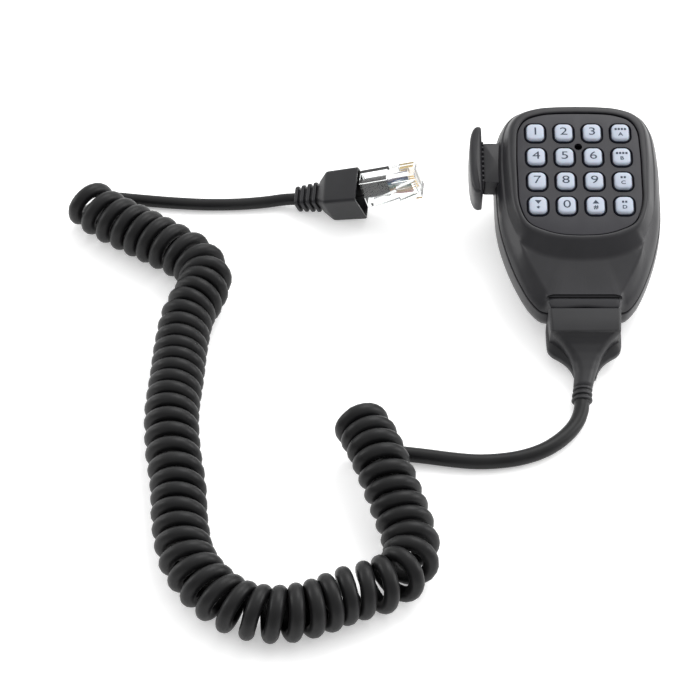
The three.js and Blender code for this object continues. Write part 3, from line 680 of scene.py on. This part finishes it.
def make_front_shell():
    outlines = (PARTING_OUTLINE, SHOULDER_OUTLINE, RIM_FOOT_OUTLINE, RIM_OUTLINE, PANEL_OUTLINE)
    parting, shoulder, foot, rim, panel = (radii(half) for half in outlines)

    def profile(i):
        k = half_index(i)
        _, shoulder_y = ray_point(i, shoulder[k])
        _, foot_y = ray_point(i, foot[k])
        top = shoulder_z(shoulder_y)
        bow = 0.35 + 0.65 * (parting[k] - shoulder[k]) / 3
        side = parting[k] * 0.55 + shoulder[k] * 0.45 + bow * 0.5
        points = [
            (parting[k] - LIP, PARTING_Z),
            (parting[k], PARTING_Z),
            (side, PARTING_Z * 0.5 + top * 0.5),
            (shoulder[k], top),
            (min(foot[k], shoulder[k] - 0.05), shoulder_z(foot_y) - 0.05),
            (rim[k], 0),
            (panel[k], 0),
            (panel[k], PANEL_SEAT_Z),
            (panel[k] - PANEL_LEDGE, PANEL_SEAT_Z),
            (panel[k] - PANEL_LEDGE, LEDGE_UNDERSIDE_Z),
            (min(shoulder[k] - 3, parting[k] - 3.5), ROOF_Z),
        ]
        _, rim_y = ray_point(i, rim[k])
        rim_rounding = map_range(rim_y, 30, 60, 1.0, 2.2)
        return rounded_profile(points, [*FRONT_ROUNDING, rim_rounding, 0.5, 0, 0, 0, 0])

    shell = mesh_object("front_shell_skin", *ring_stack(profile, close=True), MIC)
    face_outwards(shell)
    cut(shell, groove_tool(), block(*CHIN_SLIT), block(*TALK_SLOT), block(*RELIEF_NOTCH))
    smooth(shell)
    finish_piece(shell, SHELL, stands_for=["front_shell"])


def make_rear_shell():
    parting = radii(PARTING_OUTLINE)
    top = PARTING_Z - SEAM

    def outside(i):
        edge = parting[half_index(i)]
        points = [(edge - LIP, top), (edge + REAR_PROUD, top)]
        for share, inset in REAR_OUTSIDE:
            _, y = ray_point(i, edge - inset)
            points.append((edge - inset, top + (back_z(y) - top) * share))
        middle = (edge - REAR_FLOOR_INSET) * 0.5
        _, y = ray_point(i, middle)
        points.append((middle, back_z(y)))
        return rounded_profile(points, REAR_ROUNDING)

    def inside(i):
        points = []
        for share, inset in REAR_INSIDE:
            radius = max(parting[half_index(i)] - inset, 3)
            _, y = ray_point(i, radius)
            points.append((radius, top + (back_z(y) + REAR_WALL - top) * share))
        return points

    def whole(i):
        return inside(i)[::-1] + outside(i)[1:]

    shell = mesh_object("rear_shell_skin", *ring_stack(whole, close=False), MIC)
    face_outwards(shell)
    cut(shell, block(*TALK_SLOT), block(*RELIEF_NOTCH))
    smooth(shell)
    finish_piece(shell, SHELL, stands_for=["rear_shell"])


# -------------------- keypad

KEY_SIZE = (6.3, 6.9)
KEY_CORNER = 2.0
SKIRT_SIZE = (7.2, 7.7)
SKIRT_CORNER = 2.4
# The flange that holds a key under the panel is this much wider than its skirt.
FLANGE_EXTRA = 1.7
FLANGE_CORNER = 3
# The rings of faces at the bottom of a cap that carry painted shade, dark as the gap round the key:
# the flange and the skirt.
PAINTED_SHADE_RINGS = 5
KEY_GAP = 0.4
KEY_TOP_Z = 0.9
KEY_CROWN = 0.3
KEY_EDGE = 0.7
KEY_EDGE_STEPS = 6
PANEL_TOP_Z = -0.5
PANEL_BASE_Z = -2.1
PANEL_CHAMFER = 0.5
SOUND_PORT_RADIUS = 1.45
SOUND_PORT_Y = 60.3
# Each sign, and which way the triangle above it points.
LEGENDS = {"key_star": ("*", -1), "key_hash": ("#", 1)}
LEGEND_LIFT = 0.03
BAR_PITCH = 1.15
BAR_HALF_SIZE = (0.4, 0.45)


def key_place(name):
    """The middle of a key in the microphone's frame."""
    centre = MIC.inverted() @ box_centre(name)
    return centre.x / MM, centre.y / MM


KEYS = [name for name in NODES if name.startswith("key_") and name != "key_mat"]


def make_panel():
    panel = radii(PANEL_OUTLINE)

    def profile(i):
        radius = panel[half_index(i)] - 0.3
        points = [
            (radius * 0.5, PANEL_BASE_Z), (radius, PANEL_BASE_Z),
            (radius, PANEL_TOP_Z), (radius * 0.5, PANEL_TOP_Z),
        ]
        return rounded_profile(points, [0, 0, 0.35])

    plate = mesh_object("keypad_panel_skin", *ring_stack(profile, close=False), MIC)
    face_outwards(plate)
    width, height = (size + 2 * KEY_GAP for size in SKIRT_SIZE)
    corner = SKIRT_CORNER + KEY_GAP
    levels = ((0, -4), (0, PANEL_TOP_Z - 0.3), (PANEL_CHAMFER, PANEL_TOP_Z + 0.02), (PANEL_CHAMFER, 1))
    tools = []
    for name in KEYS:
        x, y = key_place(name)
        tools.append(tool([
            rounded_rectangle(width + wider, height + wider, corner + wider / 2, z, x=x, y=y)
            for wider, z in levels
        ]))
    tools.append(tool([round_ring(SOUND_PORT_RADIUS, SOUND_PORT_Y, z, 40) for z in (-6, 2)]))
    cut(plate, *tools)
    smooth(plate)
    finish_piece(plate, PANEL, stands_for=["keypad_panel"])


def key_surface(x, y):
    """Height of a key's pillowed top at a place from its middle."""
    u = x / (KEY_SIZE[0] / 2)
    v = y / (KEY_SIZE[1] / 2)
    return KEY_TOP_Z - KEY_CROWN * (u * u + v * v) ** 1.2 * 0.5


def key_cap():
    """A cap about its middle, as a shape, and how many of its faces carry the painted shade of the gap
    round it.
    """
    width, height = KEY_SIZE
    skirt_width, skirt_height = SKIRT_SIZE
    below = (
        (FLANGE_EXTRA, FLANGE_CORNER, -3.2), (FLANGE_EXTRA, FLANGE_CORNER, -2.5),
        (0.2, SKIRT_CORNER, -2.4), (0, SKIRT_CORNER, -0.65), (-0.3, SKIRT_CORNER - 0.1, -0.42),
    )
    rings = [
        rounded_rectangle(skirt_width + wider, skirt_height + wider, corner, z)
        for wider, corner, z in below
    ]
    rings.append(rounded_rectangle(width + 0.1, height + 0.1, KEY_CORNER, -0.4))
    rings.append(rounded_rectangle(width, height, KEY_CORNER, 0))
    for step in range(1, KEY_EDGE_STEPS + 1):
        angle = step / KEY_EDGE_STEPS * math.pi / 2
        inset = KEY_EDGE * (1 - math.cos(angle))
        corner = max(KEY_CORNER - inset, 0.4)
        ring = rounded_rectangle(width - 2 * inset, height - 2 * inset, corner, 0)
        rise = math.sin(angle)
        rings.append([(x, y, rise * key_surface(x, y)) for x, y, _ in ring])
    edge = [(x, y) for x, y, _ in rings[-1]]
    for share in (0.85, 0.65, 0.45, 0.22):
        scaled = [(x * share, y * share) for x, y in edge]
        rings.append([(x, y, key_surface(x, y)) for x, y in scaled])
    vertices, faces = stack(rings)
    vertices[-1] = (0, 0, KEY_TOP_Z)
    return (vertices, faces), PAINTED_SHADE_RINGS * len(edge)


def legend_mesh(body, size, y, stretch=1.25, bold=0.025):
    """A flat sign as a shape, to be laid on a key's pillowed top."""
    data = bpy.data.curves.new("legend", "FONT")
    data.body = body
    data.size = size
    data.offset = bold * size
    data.align_x = "CENTER"
    data.align_y = "CENTER"
    data.resolution_u = 4
    text = bpy.data.objects.new("legend", data)
    mesh = bpy.data.meshes.new_from_object(text)
    vertices = [(v.co.x * stretch, v.co.y + y) for v in mesh.vertices]
    faces = [tuple(p.vertices) for p in mesh.polygons]
    bpy.data.objects.remove(text)
    return vertices, faces


def bar_mesh(count, y):
    """A row of small square marks, where a function key says what it does."""
    half_x, half_y = BAR_HALF_SIZE
    bars = []
    for i in range(count):
        x = (i - (count - 1) / 2) * BAR_PITCH
        corners = [
            (x - half_x, y - half_y), (x + half_x, y - half_y),
            (x + half_x, y + half_y), (x - half_x, y + half_y),
        ]
        bars.append((corners, [(0, 1, 2, 3)]))
    return merged(bars)


def legend_shapes(name):
    """What is printed on a key, as flat shapes about the key's middle."""
    label = name.split("_")[1]
    if name in LEGENDS:
        sign, way = LEGENDS[name]
        base_y = 1.0 - 0.75 * way
        triangle = [(-1.25, base_y), (1.25, base_y), (0, 1.0 + 0.85 * way)]
        sign_y = -1.25 if sign == "#" else -1.7
        return [(triangle, [(0, 1, 2)]), legend_mesh(sign, 2.3, sign_y)]
    if label.isdigit():
        return [legend_mesh(label, 4.6, -0.05, stretch=1.35, bold=0)]
    return [bar_mesh(4 if label in "ab" else 2, 1.05), legend_mesh(label.upper(), 2.0, -1.2)]


def make_key(name):
    x, y = key_place(name)
    cap, painted_shade_faces = key_cap()
    cap_faces = len(cap[1])
    legends = [
        ([(px, py, key_surface(px, py) + LEGEND_LIFT) for px, py in flat], faces)
        for flat, faces in legend_shapes(name)
    ]
    vertices, faces = merged([cap, *legends])
    key = mesh_object(f"{name}_cap", [(px + x, py + y, pz) for px, py, pz in vertices], faces, MIC)
    for material in (KEY, PAINTED_GAP_SHADE, INK):
        key.data.materials.append(material)
    # The flange and skirt rings carry the painted shade of the gap round the key; the legends take the
    # ink.
    for i, polygon in enumerate(key.data.polygons):
        if i >= cap_faces:
            polygon.material_index = 2
        elif i < painted_shade_faces:
            polygon.material_index = 1
    smooth(key, 50)
    finish_piece(key, None, body=f"{name}_button", stands_for=[name])


# -------------------- talk switch

TALK_Y = 57.5
TALK_BAR_HALF_LENGTH = 14.5
TALK_BAR_INNER_X = -35.1
TALK_BAR_Y = TALK_Y + 0.7
# Each pair is an inset of the bar's outline and the height there.
TALK_BAR_LEVELS = [
    (1.3, -19), (0.5, -18.7), (0, -18.1), (0, -6.4), (0.25, -5.7), (0.7, -5.25), (1.4, -5),
]
TALK_TEETH = 9
TOOTH_PITCH = 2.05
TOOTH_SIZE = 0.9
STEM_X = (-34.9 - 24.8) / 2
STEM_SIZE = (10.1, 17.2)


def inset_ring(points, distance):
    """An anticlockwise outline moved inwards."""
    out = []
    count = len(points)
    for i, (x, y) in enumerate(points):
        x0, y0 = points[i - 1]
        x1, y1 = points[(i + 1) % count]
        length = math.hypot(x1 - x0, y1 - y0) or 1
        out.append((x - (y1 - y0) / length * distance, y + (x1 - x0) / length * distance))
    return out


def talk_bar_outline():
    """Flat towards the case, bowed outwards, with rounded ends."""
    half = TALK_BAR_HALF_LENGTH
    outer = [
        (-0.3, half - 0.25), (-1.4, half), (-2.7, half - 0.6), (-3.7, half - 2.6), (-4.4, half - 6),
    ]
    bow = outer + [(-4.75, 0)] + [(x, -y) for x, y in reversed(outer)]
    curve = spline_through([(x, y, 0) for x, y in bow], 0.35)
    back = [(0, half * (step / 10 - 1) * 0.94) for step in range(21)]
    return [(x, y) for x, y, _ in curve] + back


def make_talk_bar():
    outline = talk_bar_outline()
    rings = [
        [(x + TALK_BAR_INNER_X, y + TALK_BAR_Y, z) for x, y in inset_ring(outline, inset)]
        for inset, z in TALK_BAR_LEVELS
    ]
    bar = solid("talk_bar_skin", stack(rings), MIC, 40)
    finish_piece(bar, SHELL, body="talk_bar", stands_for=["ptt_bar"])


def make_talk_teeth():
    """Small ridges along the bar's inner face, beside the stem."""
    x = TALK_BAR_INNER_X + 0.15
    ridges = []
    for i in range(TALK_TEETH):
        y = TALK_Y + (i - (TALK_TEETH - 1) / 2) * TOOTH_PITCH
        ridges.append(stack([
            rounded_rectangle(TOOTH_SIZE - less, TOOTH_SIZE - less, 0.2, z, per_corner=3, x=x, y=y)
            for less, z in ((0, -12), (0, -6.3), (0.3, -6))
        ]))
    teeth = solid("talk_bar_teeth", merged(ridges), MIC)
    finish_piece(teeth, SHELL, body="talk_bar")


def make_talk_stem():
    width, height = STEM_SIZE
    rings = [
        rounded_rectangle(width - less, height - less, 1.1, z, x=STEM_X, y=TALK_Y)
        for less, z in ((0.8, -16), (0, -15.6), (0, -7.5), (0.25, -7.15), (0.9, -7))
    ]
    stem = solid("talk_stem_skin", stack(rings), MIC, 40)
    finish_piece(stem, SHELL, body="talk_bar", stands_for=["ptt_stem"])


# -------------------- hang-up knob

KNOB_Y = 53
# The knob's section as pairs of radius and height: the flange, the neck, and the bore for its screw.
KNOB_PROFILE = [
    (2, -36), (3.4, -36), (3.4, -37.3), (3.6, -37.5), (8.2, -37.5), (8.7, -37.3), (9, -36.8),
    (9, -35.1), (8.8, -34.6), (8.3, -34.3), (5.3, -34.2), (5, -33.9), (5, -29.8), (2, -29.8),
]


def make_knob():
    rings = [round_ring(radius, KNOB_Y, z, 64) for radius, z in KNOB_PROFILE]
    knob = solid("hang_up_knob_skin", stack(rings, close=True), MIC, 40)
    finish_piece(knob, STEEL, stands_for=["hang_up_knob"])


# -------------------- strain relief

RELIEF_START_Y = -4.8
RELIEF_AXIS_Z = -13
# The relief's end is this far to one side, and bends there between these distances from the case.
RELIEF_BEND = -1.9
RELIEF_BEND_SPAN = (18, 34)
RAMP_STEPS = 4
RIBS = 3
RIB_START = 28.5
RIB_PITCH = 2.05
RIB_NECK = 2.95
RELIEF_END = (34.5, 2.9)
# The tongue reaches from the case's notch into the block.
TONGUE_SIZE = (15.6, 7)
TONGUE_Z = -12.1
TONGUE_REACH = (-3.2, -7.8)
# Each row is the distance from the case, half width, top, bottom and corner radius.
RELIEF_BLOCK = [
    (0, 12.6, -5.4, -17.4, 1.2), (0.35, 13, -5, -17.6, 1.3), (4, 12.85, -5, -17.6, 1.3),
    (8.7, 12.6, -5, -17.6, 1.3), (9.2, 12.5, -5.1, -17.6, 1.4), (9.5, 12.2, -5.45, -17.5, 1.6),
]
RELIEF_RAMP = [
    (9.6, 11.9, -5.8, -17.5, 1.8), (11, 10.1, -6.9, -17.4, 2.4), (13, 8.2, -8, -17.3, 3),
    (16, 6.1, -8.8, -17.1, 3.4), (19, 4.8, -9.2, -16.9, 3.5), (22.5, 3.9, -9.45, -16.6, 3.5),
    (26, 3.6, -9.55, -16.45, 3.4), (28.2, 3.5, -9.6, -16.4, 3.4),
]
# The right edge of the flange round the block, and the share of its size at each height.
FLANGE_OUTLINE = [
    (13.1, -0.6), (13.4, -2.5), (13.4, -9.6), (13, -12.2), (11.6, -14), (9, -15.7), (6.6, -17.7),
    (4.9, -20.2), (3.7, -23.4),
]
FLANGE_TIP_Y = -24.2
FLANGE_LEVELS = [
    (0.95, -17.6), (0.99, -17.35), (1, -16.9), (1, -15), (0.985, -14.5), (0.95, -14.1),
    (0.85, -13.5), (0.7, -12.8), (0.4, -12.4),
]


def smoothstep(value, low, high):
    t = min(max((value - low) / (high - low), 0), 1)
    return t * t * (3 - 2 * t)


def relief_ring(distance, half_width, top, bottom, radius):
    """An upright ring of the block, the ramp or a rib."""
    half_height = (top - bottom) / 2
    corner = min(radius, half_width - 0.05, half_height - 0.05)
    bend = RELIEF_BEND * smoothstep(distance, *RELIEF_BEND_SPAN)
    flat = rounded_rectangle(2 * half_width, 2 * half_height, corner, 0, per_corner=13)
    return [(x + bend, RELIEF_START_Y - distance, (top + bottom) / 2 + z) for x, z, _ in flat]


def round_row(distance, radius):
    return (distance, radius, RELIEF_AXIS_Z + radius, RELIEF_AXIS_Z - radius, radius)


def relief_rows():
    rows = list(RELIEF_BLOCK)
    for first, last in zip(RELIEF_RAMP, RELIEF_RAMP[1:]):
        for step in range(RAMP_STEPS):
            rows.append(tuple(a + (b - a) * step / RAMP_STEPS for a, b in zip(first, last)))
    for i in range(RIBS):
        start = RIB_START + RIB_PITCH * i
        wide = 3.5 + 0.12 * i
        shape = (
            (0, RIB_NECK), (0.1, wide - 0.25), (0.35, wide), (0.95, wide), (1.2, wide - 0.25),
            (1.3, RIB_NECK),
        )
        rows += [round_row(start + along, radius) for along, radius in shape]
    return [*rows, round_row(*RELIEF_END)]


def relief_flange():
    half = [(x, y) for x, y, _ in spline_through([(x, y, 0) for x, y in FLANGE_OUTLINE], 0.5)]
    edge = [*half, (0, FLANGE_TIP_Y), *((-x, y) for x, y in reversed(half))]
    return stack([
        [(x * share, RELIEF_START_Y + y * share, z) for x, y in edge] for share, z in FLANGE_LEVELS
    ])


def relief_tongue():
    section = rounded_rectangle(*TONGUE_SIZE, 0.6, 0, y=TONGUE_Z)
    return stack([[(x, y, z) for x, z, _ in section] for y in TONGUE_REACH])


def make_relief():
    core = stack([relief_ring(*row) for row in relief_rows()])
    relief = solid("strain_relief_skin", merged([core, relief_flange(), relief_tongue()]), MIC, 32)
    finish_piece(relief, RELIEF, stands_for=["strain_relief"])


# -------------------- plug boot

BOOT_END_X = -26.2
BOOT_RIBS = 4
BOOT_RIB_PITCH = 2.5
# Along each rib: the place, and how much less than the rib's full size the boot is there.
BOOT_RIB_SHAPE = (
    (0, 0.6), (0.15, 0.2), (0.35, 0), (1.15, 0), (1.35, 0.2), (1.45, 0.6), (1.5, 2), (2.45, 2),
)
# Each row is the place along the boot, thickness, width and corner radius. The rows run forward
# outside to the mouth at 0 and back inside to the cord's bore.
BOOT_HOOD = [
    (-16.1, 9.8, 9.2, 2), (-15.8, 10.3, 9.8, 2), (-13.2, 13.9, 13.8, 1.7), (-12.7, 14.3, 14.3, 1.6),
    (-12, 14.45, 14.45, 1.5), (-0.5, 15, 15, 1.3), (-0.1, 14.8, 14.8, 1.2), (0, 14.5, 14.5, 1.1),
    (0, 13.2, 13.2, 0.9), (-0.2, 12.9, 12.9, 0.8), (-9, 12.2, 12.2, 1), (-12, 9.6, 9.2, 1),
    (-12.1, 5.2, 5.2, 2.5), (BOOT_END_X, 5.2, 5.2, 2.5),
]


def make_boot():
    rows = []
    for i in range(BOOT_RIBS):
        start = BOOT_END_X + i * BOOT_RIB_PITCH
        thick = 8.4 + 0.4 * i
        wide = 7.2 + 0.45 * i
        rows += [(start + along, thick - less, wide - less, 1.7) for along, less in BOOT_RIB_SHAPE]
    rings = [
        [(x, y, z) for z, y, _ in rounded_rectangle(thick, wide, radius, 0)]
        for x, thick, wide, radius in rows + BOOT_HOOD
    ]
    boot = solid("plug_boot_skin", stack(rings, close=True), BOOT, 36)
    finish_piece(boot, BOOT_RUBBER, stands_for=["plug_boot"])
    return boot


# -------------------- carried-over CAD pieces

# Faces within the first angle of each other are flat, and edges over the second are rounded.
FLAT_ANGLE = math.radians(0.6)
EDGE_ANGLE = math.radians(32)


def paint(obj, material):
    obj.data.materials.clear()
    obj.data.materials.append(material)


def soften(obj, width):
    """Rounds a CAD piece's edges and shades it smooth between them."""
    weld = obj.modifiers.new("weld", "WELD")
    weld.merge_threshold = 0.02 * MM
    flat = obj.modifiers.new("flat", "DECIMATE")
    flat.decimate_type = "DISSOLVE"
    flat.angle_limit = FLAT_ANGLE
    bevel = obj.modifiers.new("bevel", "BEVEL")
    bevel.width = width
    bevel.segments = 2
    bevel.limit_method = "ANGLE"
    bevel.angle_limit = EDGE_ANGLE
    obj.data.shade_smooth()
    normals = obj.modifiers.new("normals", "WEIGHTED_NORMAL")
    normals.keep_sharp = True


def finish_cad_nodes():
    """Gives every CAD node the material of its slot, and rounds the plug and its latch."""
    looks = {
        "shell": SHELL, "panel": PANEL, "rubber": RELIEF, "board": BOARD, "metal": STEEL,
        "gold": GOLD, "clear": CLEAR, "key": KEY, "cores": PANEL,
    }
    slots = {entry["node"]: entry["material_slot"] for entry in frame["record"]["subparts"]}
    for name, node in NODES.items():
        paint(node, looks[slots[name]])
    # Painted shade: the key mat is made as dark as the shadow in the gaps round the keys.
    paint(NODES["key_mat"], PAINTED_GAP_SHADE)
    paint(NODES["plug_boot"], BOOT_RUBBER)
    soften(NODES["plug_body"], 0.25 * MM)
    soften(NODES["plug_latch"], 0.2 * MM)


# -------------------- inside the plug

CORE_COLORS = [
    (0.55, 0.16, 0.17), (0.75, 0.42, 0.2), (0.66, 0.52, 0.36), (0.24, 0.36, 0.3),
    (0.8, 0.82, 0.86), (0.1, 0.3, 0.42), (0.13, 0.2, 0.42), (0.2, 0.17, 0.25),
]
CORE_PITCH = 1.02
CORE_RADIUS = 0.47
CORE_START_X = 9
CORE_LENGTH = 9.2
CORE_Z = -0.45
CORE_STEPS = 16
# The cores leave the jacket at this share of their final pitch.
CORE_BUNDLING = 0.72
JACKET_START_X = -6
JACKET_LENGTH = 16.2
JACKET_STEPS = 24
JACKET_RADIUS = 2.5
JACKET_FLAT_RADIUS = 3.9
JACKET_SQUASH = 0.64


def tube_mesh(points, radius_at, sides, squash=1.0):
    """A tube in the plug's frame that runs mostly along X, as a shape."""
    rings = []
    for i, (x, y, z) in enumerate(points):
        r = radius_at(i / (len(points) - 1))
        rings.append([(x, y + r * math.cos(t), z + r * squash * math.sin(t)) for t in circle(sides)])
    return stack(rings)


def core_route(k):
    """The line of core k, which fans out from the jacket and rises or dips a little on the way."""
    end_y = (k - (len(CORE_COLORS) - 1) / 2) * CORE_PITCH
    start_y = end_y * CORE_BUNDLING
    points = []
    for step in range(CORE_STEPS + 1):
        share = step / CORE_STEPS
        spread = 0.5 - 0.5 * math.cos(math.pi * min(share * 1.6, 1))
        lift = 0.3 * math.sin(math.pi * share) * (1 if k % 2 else -0.4)
        y = start_y + (end_y - start_y) * spread
        points.append((CORE_START_X + CORE_LENGTH * share, y, CORE_Z + lift))
    return points


def make_cores():
    tubes = [
        tube_mesh(core_route(k), lambda share: CORE_RADIUS, 14) for k in range(len(CORE_COLORS))
    ]
    cores = solid("core_wires", merged(tubes), PLUG, 50)
    for k, color in enumerate(CORE_COLORS):
        shade = tuple(0.8 * c for c in color)
        cores.data.materials.append(moulded(f"core_{k + 1}", shade, color, 0.4, 0.0004, 0.00001))
    owners = [k for k, (_, faces) in enumerate(tubes) for _ in faces]
    for polygon, k in zip(cores.data.polygons, owners):
        polygon.material_index = k
    finish_piece(cores, None, stands_for=["core_ribbon"])


def make_plug_jacket():
    """The cord's jacket inside the plug, flattened towards its cut end."""
    steps = range(JACKET_STEPS + 1)
    points = [(JACKET_START_X + JACKET_LENGTH * i / JACKET_STEPS, 0, 0) for i in steps]

    def radius(share):
        flat = map_range(share, 0.1, 0.5, JACKET_RADIUS, JACKET_FLAT_RADIUS)
        return flat * (0.9 if share > 0.97 else 1)

    jacket = solid("plug_jacket", tube_mesh(points, radius, 32, squash=JACKET_SQUASH), PLUG, 40)
    finish_piece(jacket, CORD_RUBBER)
    return jacket


# -------------------- stage

FLOOR_HALF_SIZE = 6
FLOOR_COLOR = (0.93, 0.93, 0.93)
FLOOR_GLOW = 0.34
# The sky goes from its dark to its bright strength as the view turns towards the bright side.
SKY_BRIGHT_SIDE = (0.15, 0.75, 0.6)
SKY_RISE = 0.6
SKY_DARK = 0.6
SKY_BRIGHT = 1.25
# Name, place, diameter and power of each lamp. All are aimed at the camera's target.
LAMPS = [
    ("key_light", (0.5, 0.95, 1.35), 1.2, 13),
    ("left_light", (-1.3, 0.35, 0.4), 0.5, 3),
    ("right_light", (1.15, 0.2, 0.45), 0.6, 5),
]


def make_stage():
    """A plain pale floor with a weak glow of its own."""
    s = FLOOR_HALF_SIZE
    mesh = bpy.data.meshes.new("floor")
    mesh.from_pydata([(-s, -s, 0), (s, -s, 0), (s, s, 0), (-s, s, 0)], [], [(0, 1, 2, 3)])
    floor = bpy.data.objects.new("floor", mesh)
    bpy.context.scene.collection.objects.link(floor)
    paper = new_material("floor", FLOOR_COLOR, 0.9)
    shader = paper.node_tree.nodes["Principled BSDF"]
    shader.inputs["Emission Color"].default_value = (1, 1, 1, 1)
    shader.inputs["Emission Strength"].default_value = FLOOR_GLOW
    mesh.materials.append(paper)


def area_light(name, location, size, power):
    data = bpy.data.lights.new(name, "AREA")
    data.shape = "DISK"
    data.size = size
    data.energy = power
    light = bpy.data.objects.new(name, data)
    bpy.context.scene.collection.objects.link(light)
    light.location = location
    aim = CAMERA_TARGET - Vector(location)
    light.rotation_euler = aim.to_track_quat("-Z", "Y").to_euler()


def make_light():
    """A studio sky, pale grey in front and white behind, with a key light and two side lights."""
    bpy.context.scene.view_settings.view_transform = "Standard"
    world = bpy.data.worlds.new("studio")
    bpy.context.scene.world = world
    world.use_nodes = True
    nodes = world.node_tree.nodes
    links = world.node_tree.links
    direction = nodes.new("ShaderNodeTexCoord")
    side = nodes.new("ShaderNodeVectorMath")
    side.operation = "DOT_PRODUCT"
    side.inputs[1].default_value = SKY_BRIGHT_SIDE
    shade = nodes.new("ShaderNodeMapRange")
    shade.inputs["From Min"].default_value = 0.0
    shade.inputs["From Max"].default_value = SKY_RISE
    shade.inputs["To Min"].default_value = SKY_DARK
    shade.inputs["To Max"].default_value = SKY_BRIGHT
    links.new(direction.outputs["Generated"], side.inputs[0])
    links.new(side.outputs["Value"], shade.inputs["Value"])
    links.new(shade.outputs["Result"], nodes["Background"].inputs["Strength"])
    nodes["Background"].inputs["Color"].default_value = (1, 1, 1, 1)
    for lamp in LAMPS:
        area_light(*lamp)


# -------------------- making it all

# The shell, the relief and the boot carry a painted highlight on their proud edges.
SHELL = moulded(
    "shell_plastic", (0.01, 0.01, 0.012), (0.014, 0.0135, 0.016), 0.36, 0.00035, 0.00003, edge_highlight=0.5
)
PANEL = moulded(
    "panel_plastic", (0.014, 0.0135, 0.018), (0.018, 0.0175, 0.023), 0.36, 0.00025, 0.00002
)
KEY = key_plastic()
# Painted shade: the dark of the gaps round the keys, laid on the caps' skirts and flanges and on the
# key mat.
PAINTED_GAP_SHADE = moulded(
    "key_skirt", (0.006, 0.008, 0.018), (0.009, 0.012, 0.026), 0.5, 0.0005, 0.00001
)
INK = moulded("legend_ink", (0.02, 0.03, 0.055), (0.028, 0.04, 0.068), 0.55, 0.0003, 0.000005)
CORD_RUBBER = moulded(
    "cord_rubber", (0.005, 0.005, 0.0055), (0.009, 0.009, 0.0095), 0.42, 0.0007, 0.00002, gloss=0.24
)
RELIEF = moulded(
    "relief_rubber", (0.01, 0.01, 0.0115), (0.014, 0.014, 0.016), 0.44, 0.0004, 0.00003, edge_highlight=0.4
)
BOOT_RUBBER = moulded(
    "boot_rubber", (0.008, 0.008, 0.0095), (0.012, 0.012, 0.014), 0.38, 0.0004, 0.00003, edge_highlight=0.4
)
STEEL = brushed_metal("steel", (0.62, 0.62, 0.64), 0.3)
GOLD = brushed_metal("gold_plate", (0.83, 0.6, 0.26), 0.25)
BOARD = moulded(
    "board_laminate", (0.01, 0.06, 0.025), (0.015, 0.09, 0.035), 0.35, 0.002, 0.00002
)
CLEAR = clear_plastic()

cord.data.materials.append(CORD_RUBBER)
make_front_shell()
make_rear_shell()
make_panel()
for key_name in KEYS:
    make_key(key_name)
make_cores()
jacket = make_plug_jacket()
make_talk_bar()
make_talk_teeth()
make_talk_stem()
make_knob()
make_relief()
boot = make_boot()
finish_cad_nodes()
make_stage()
make_light()
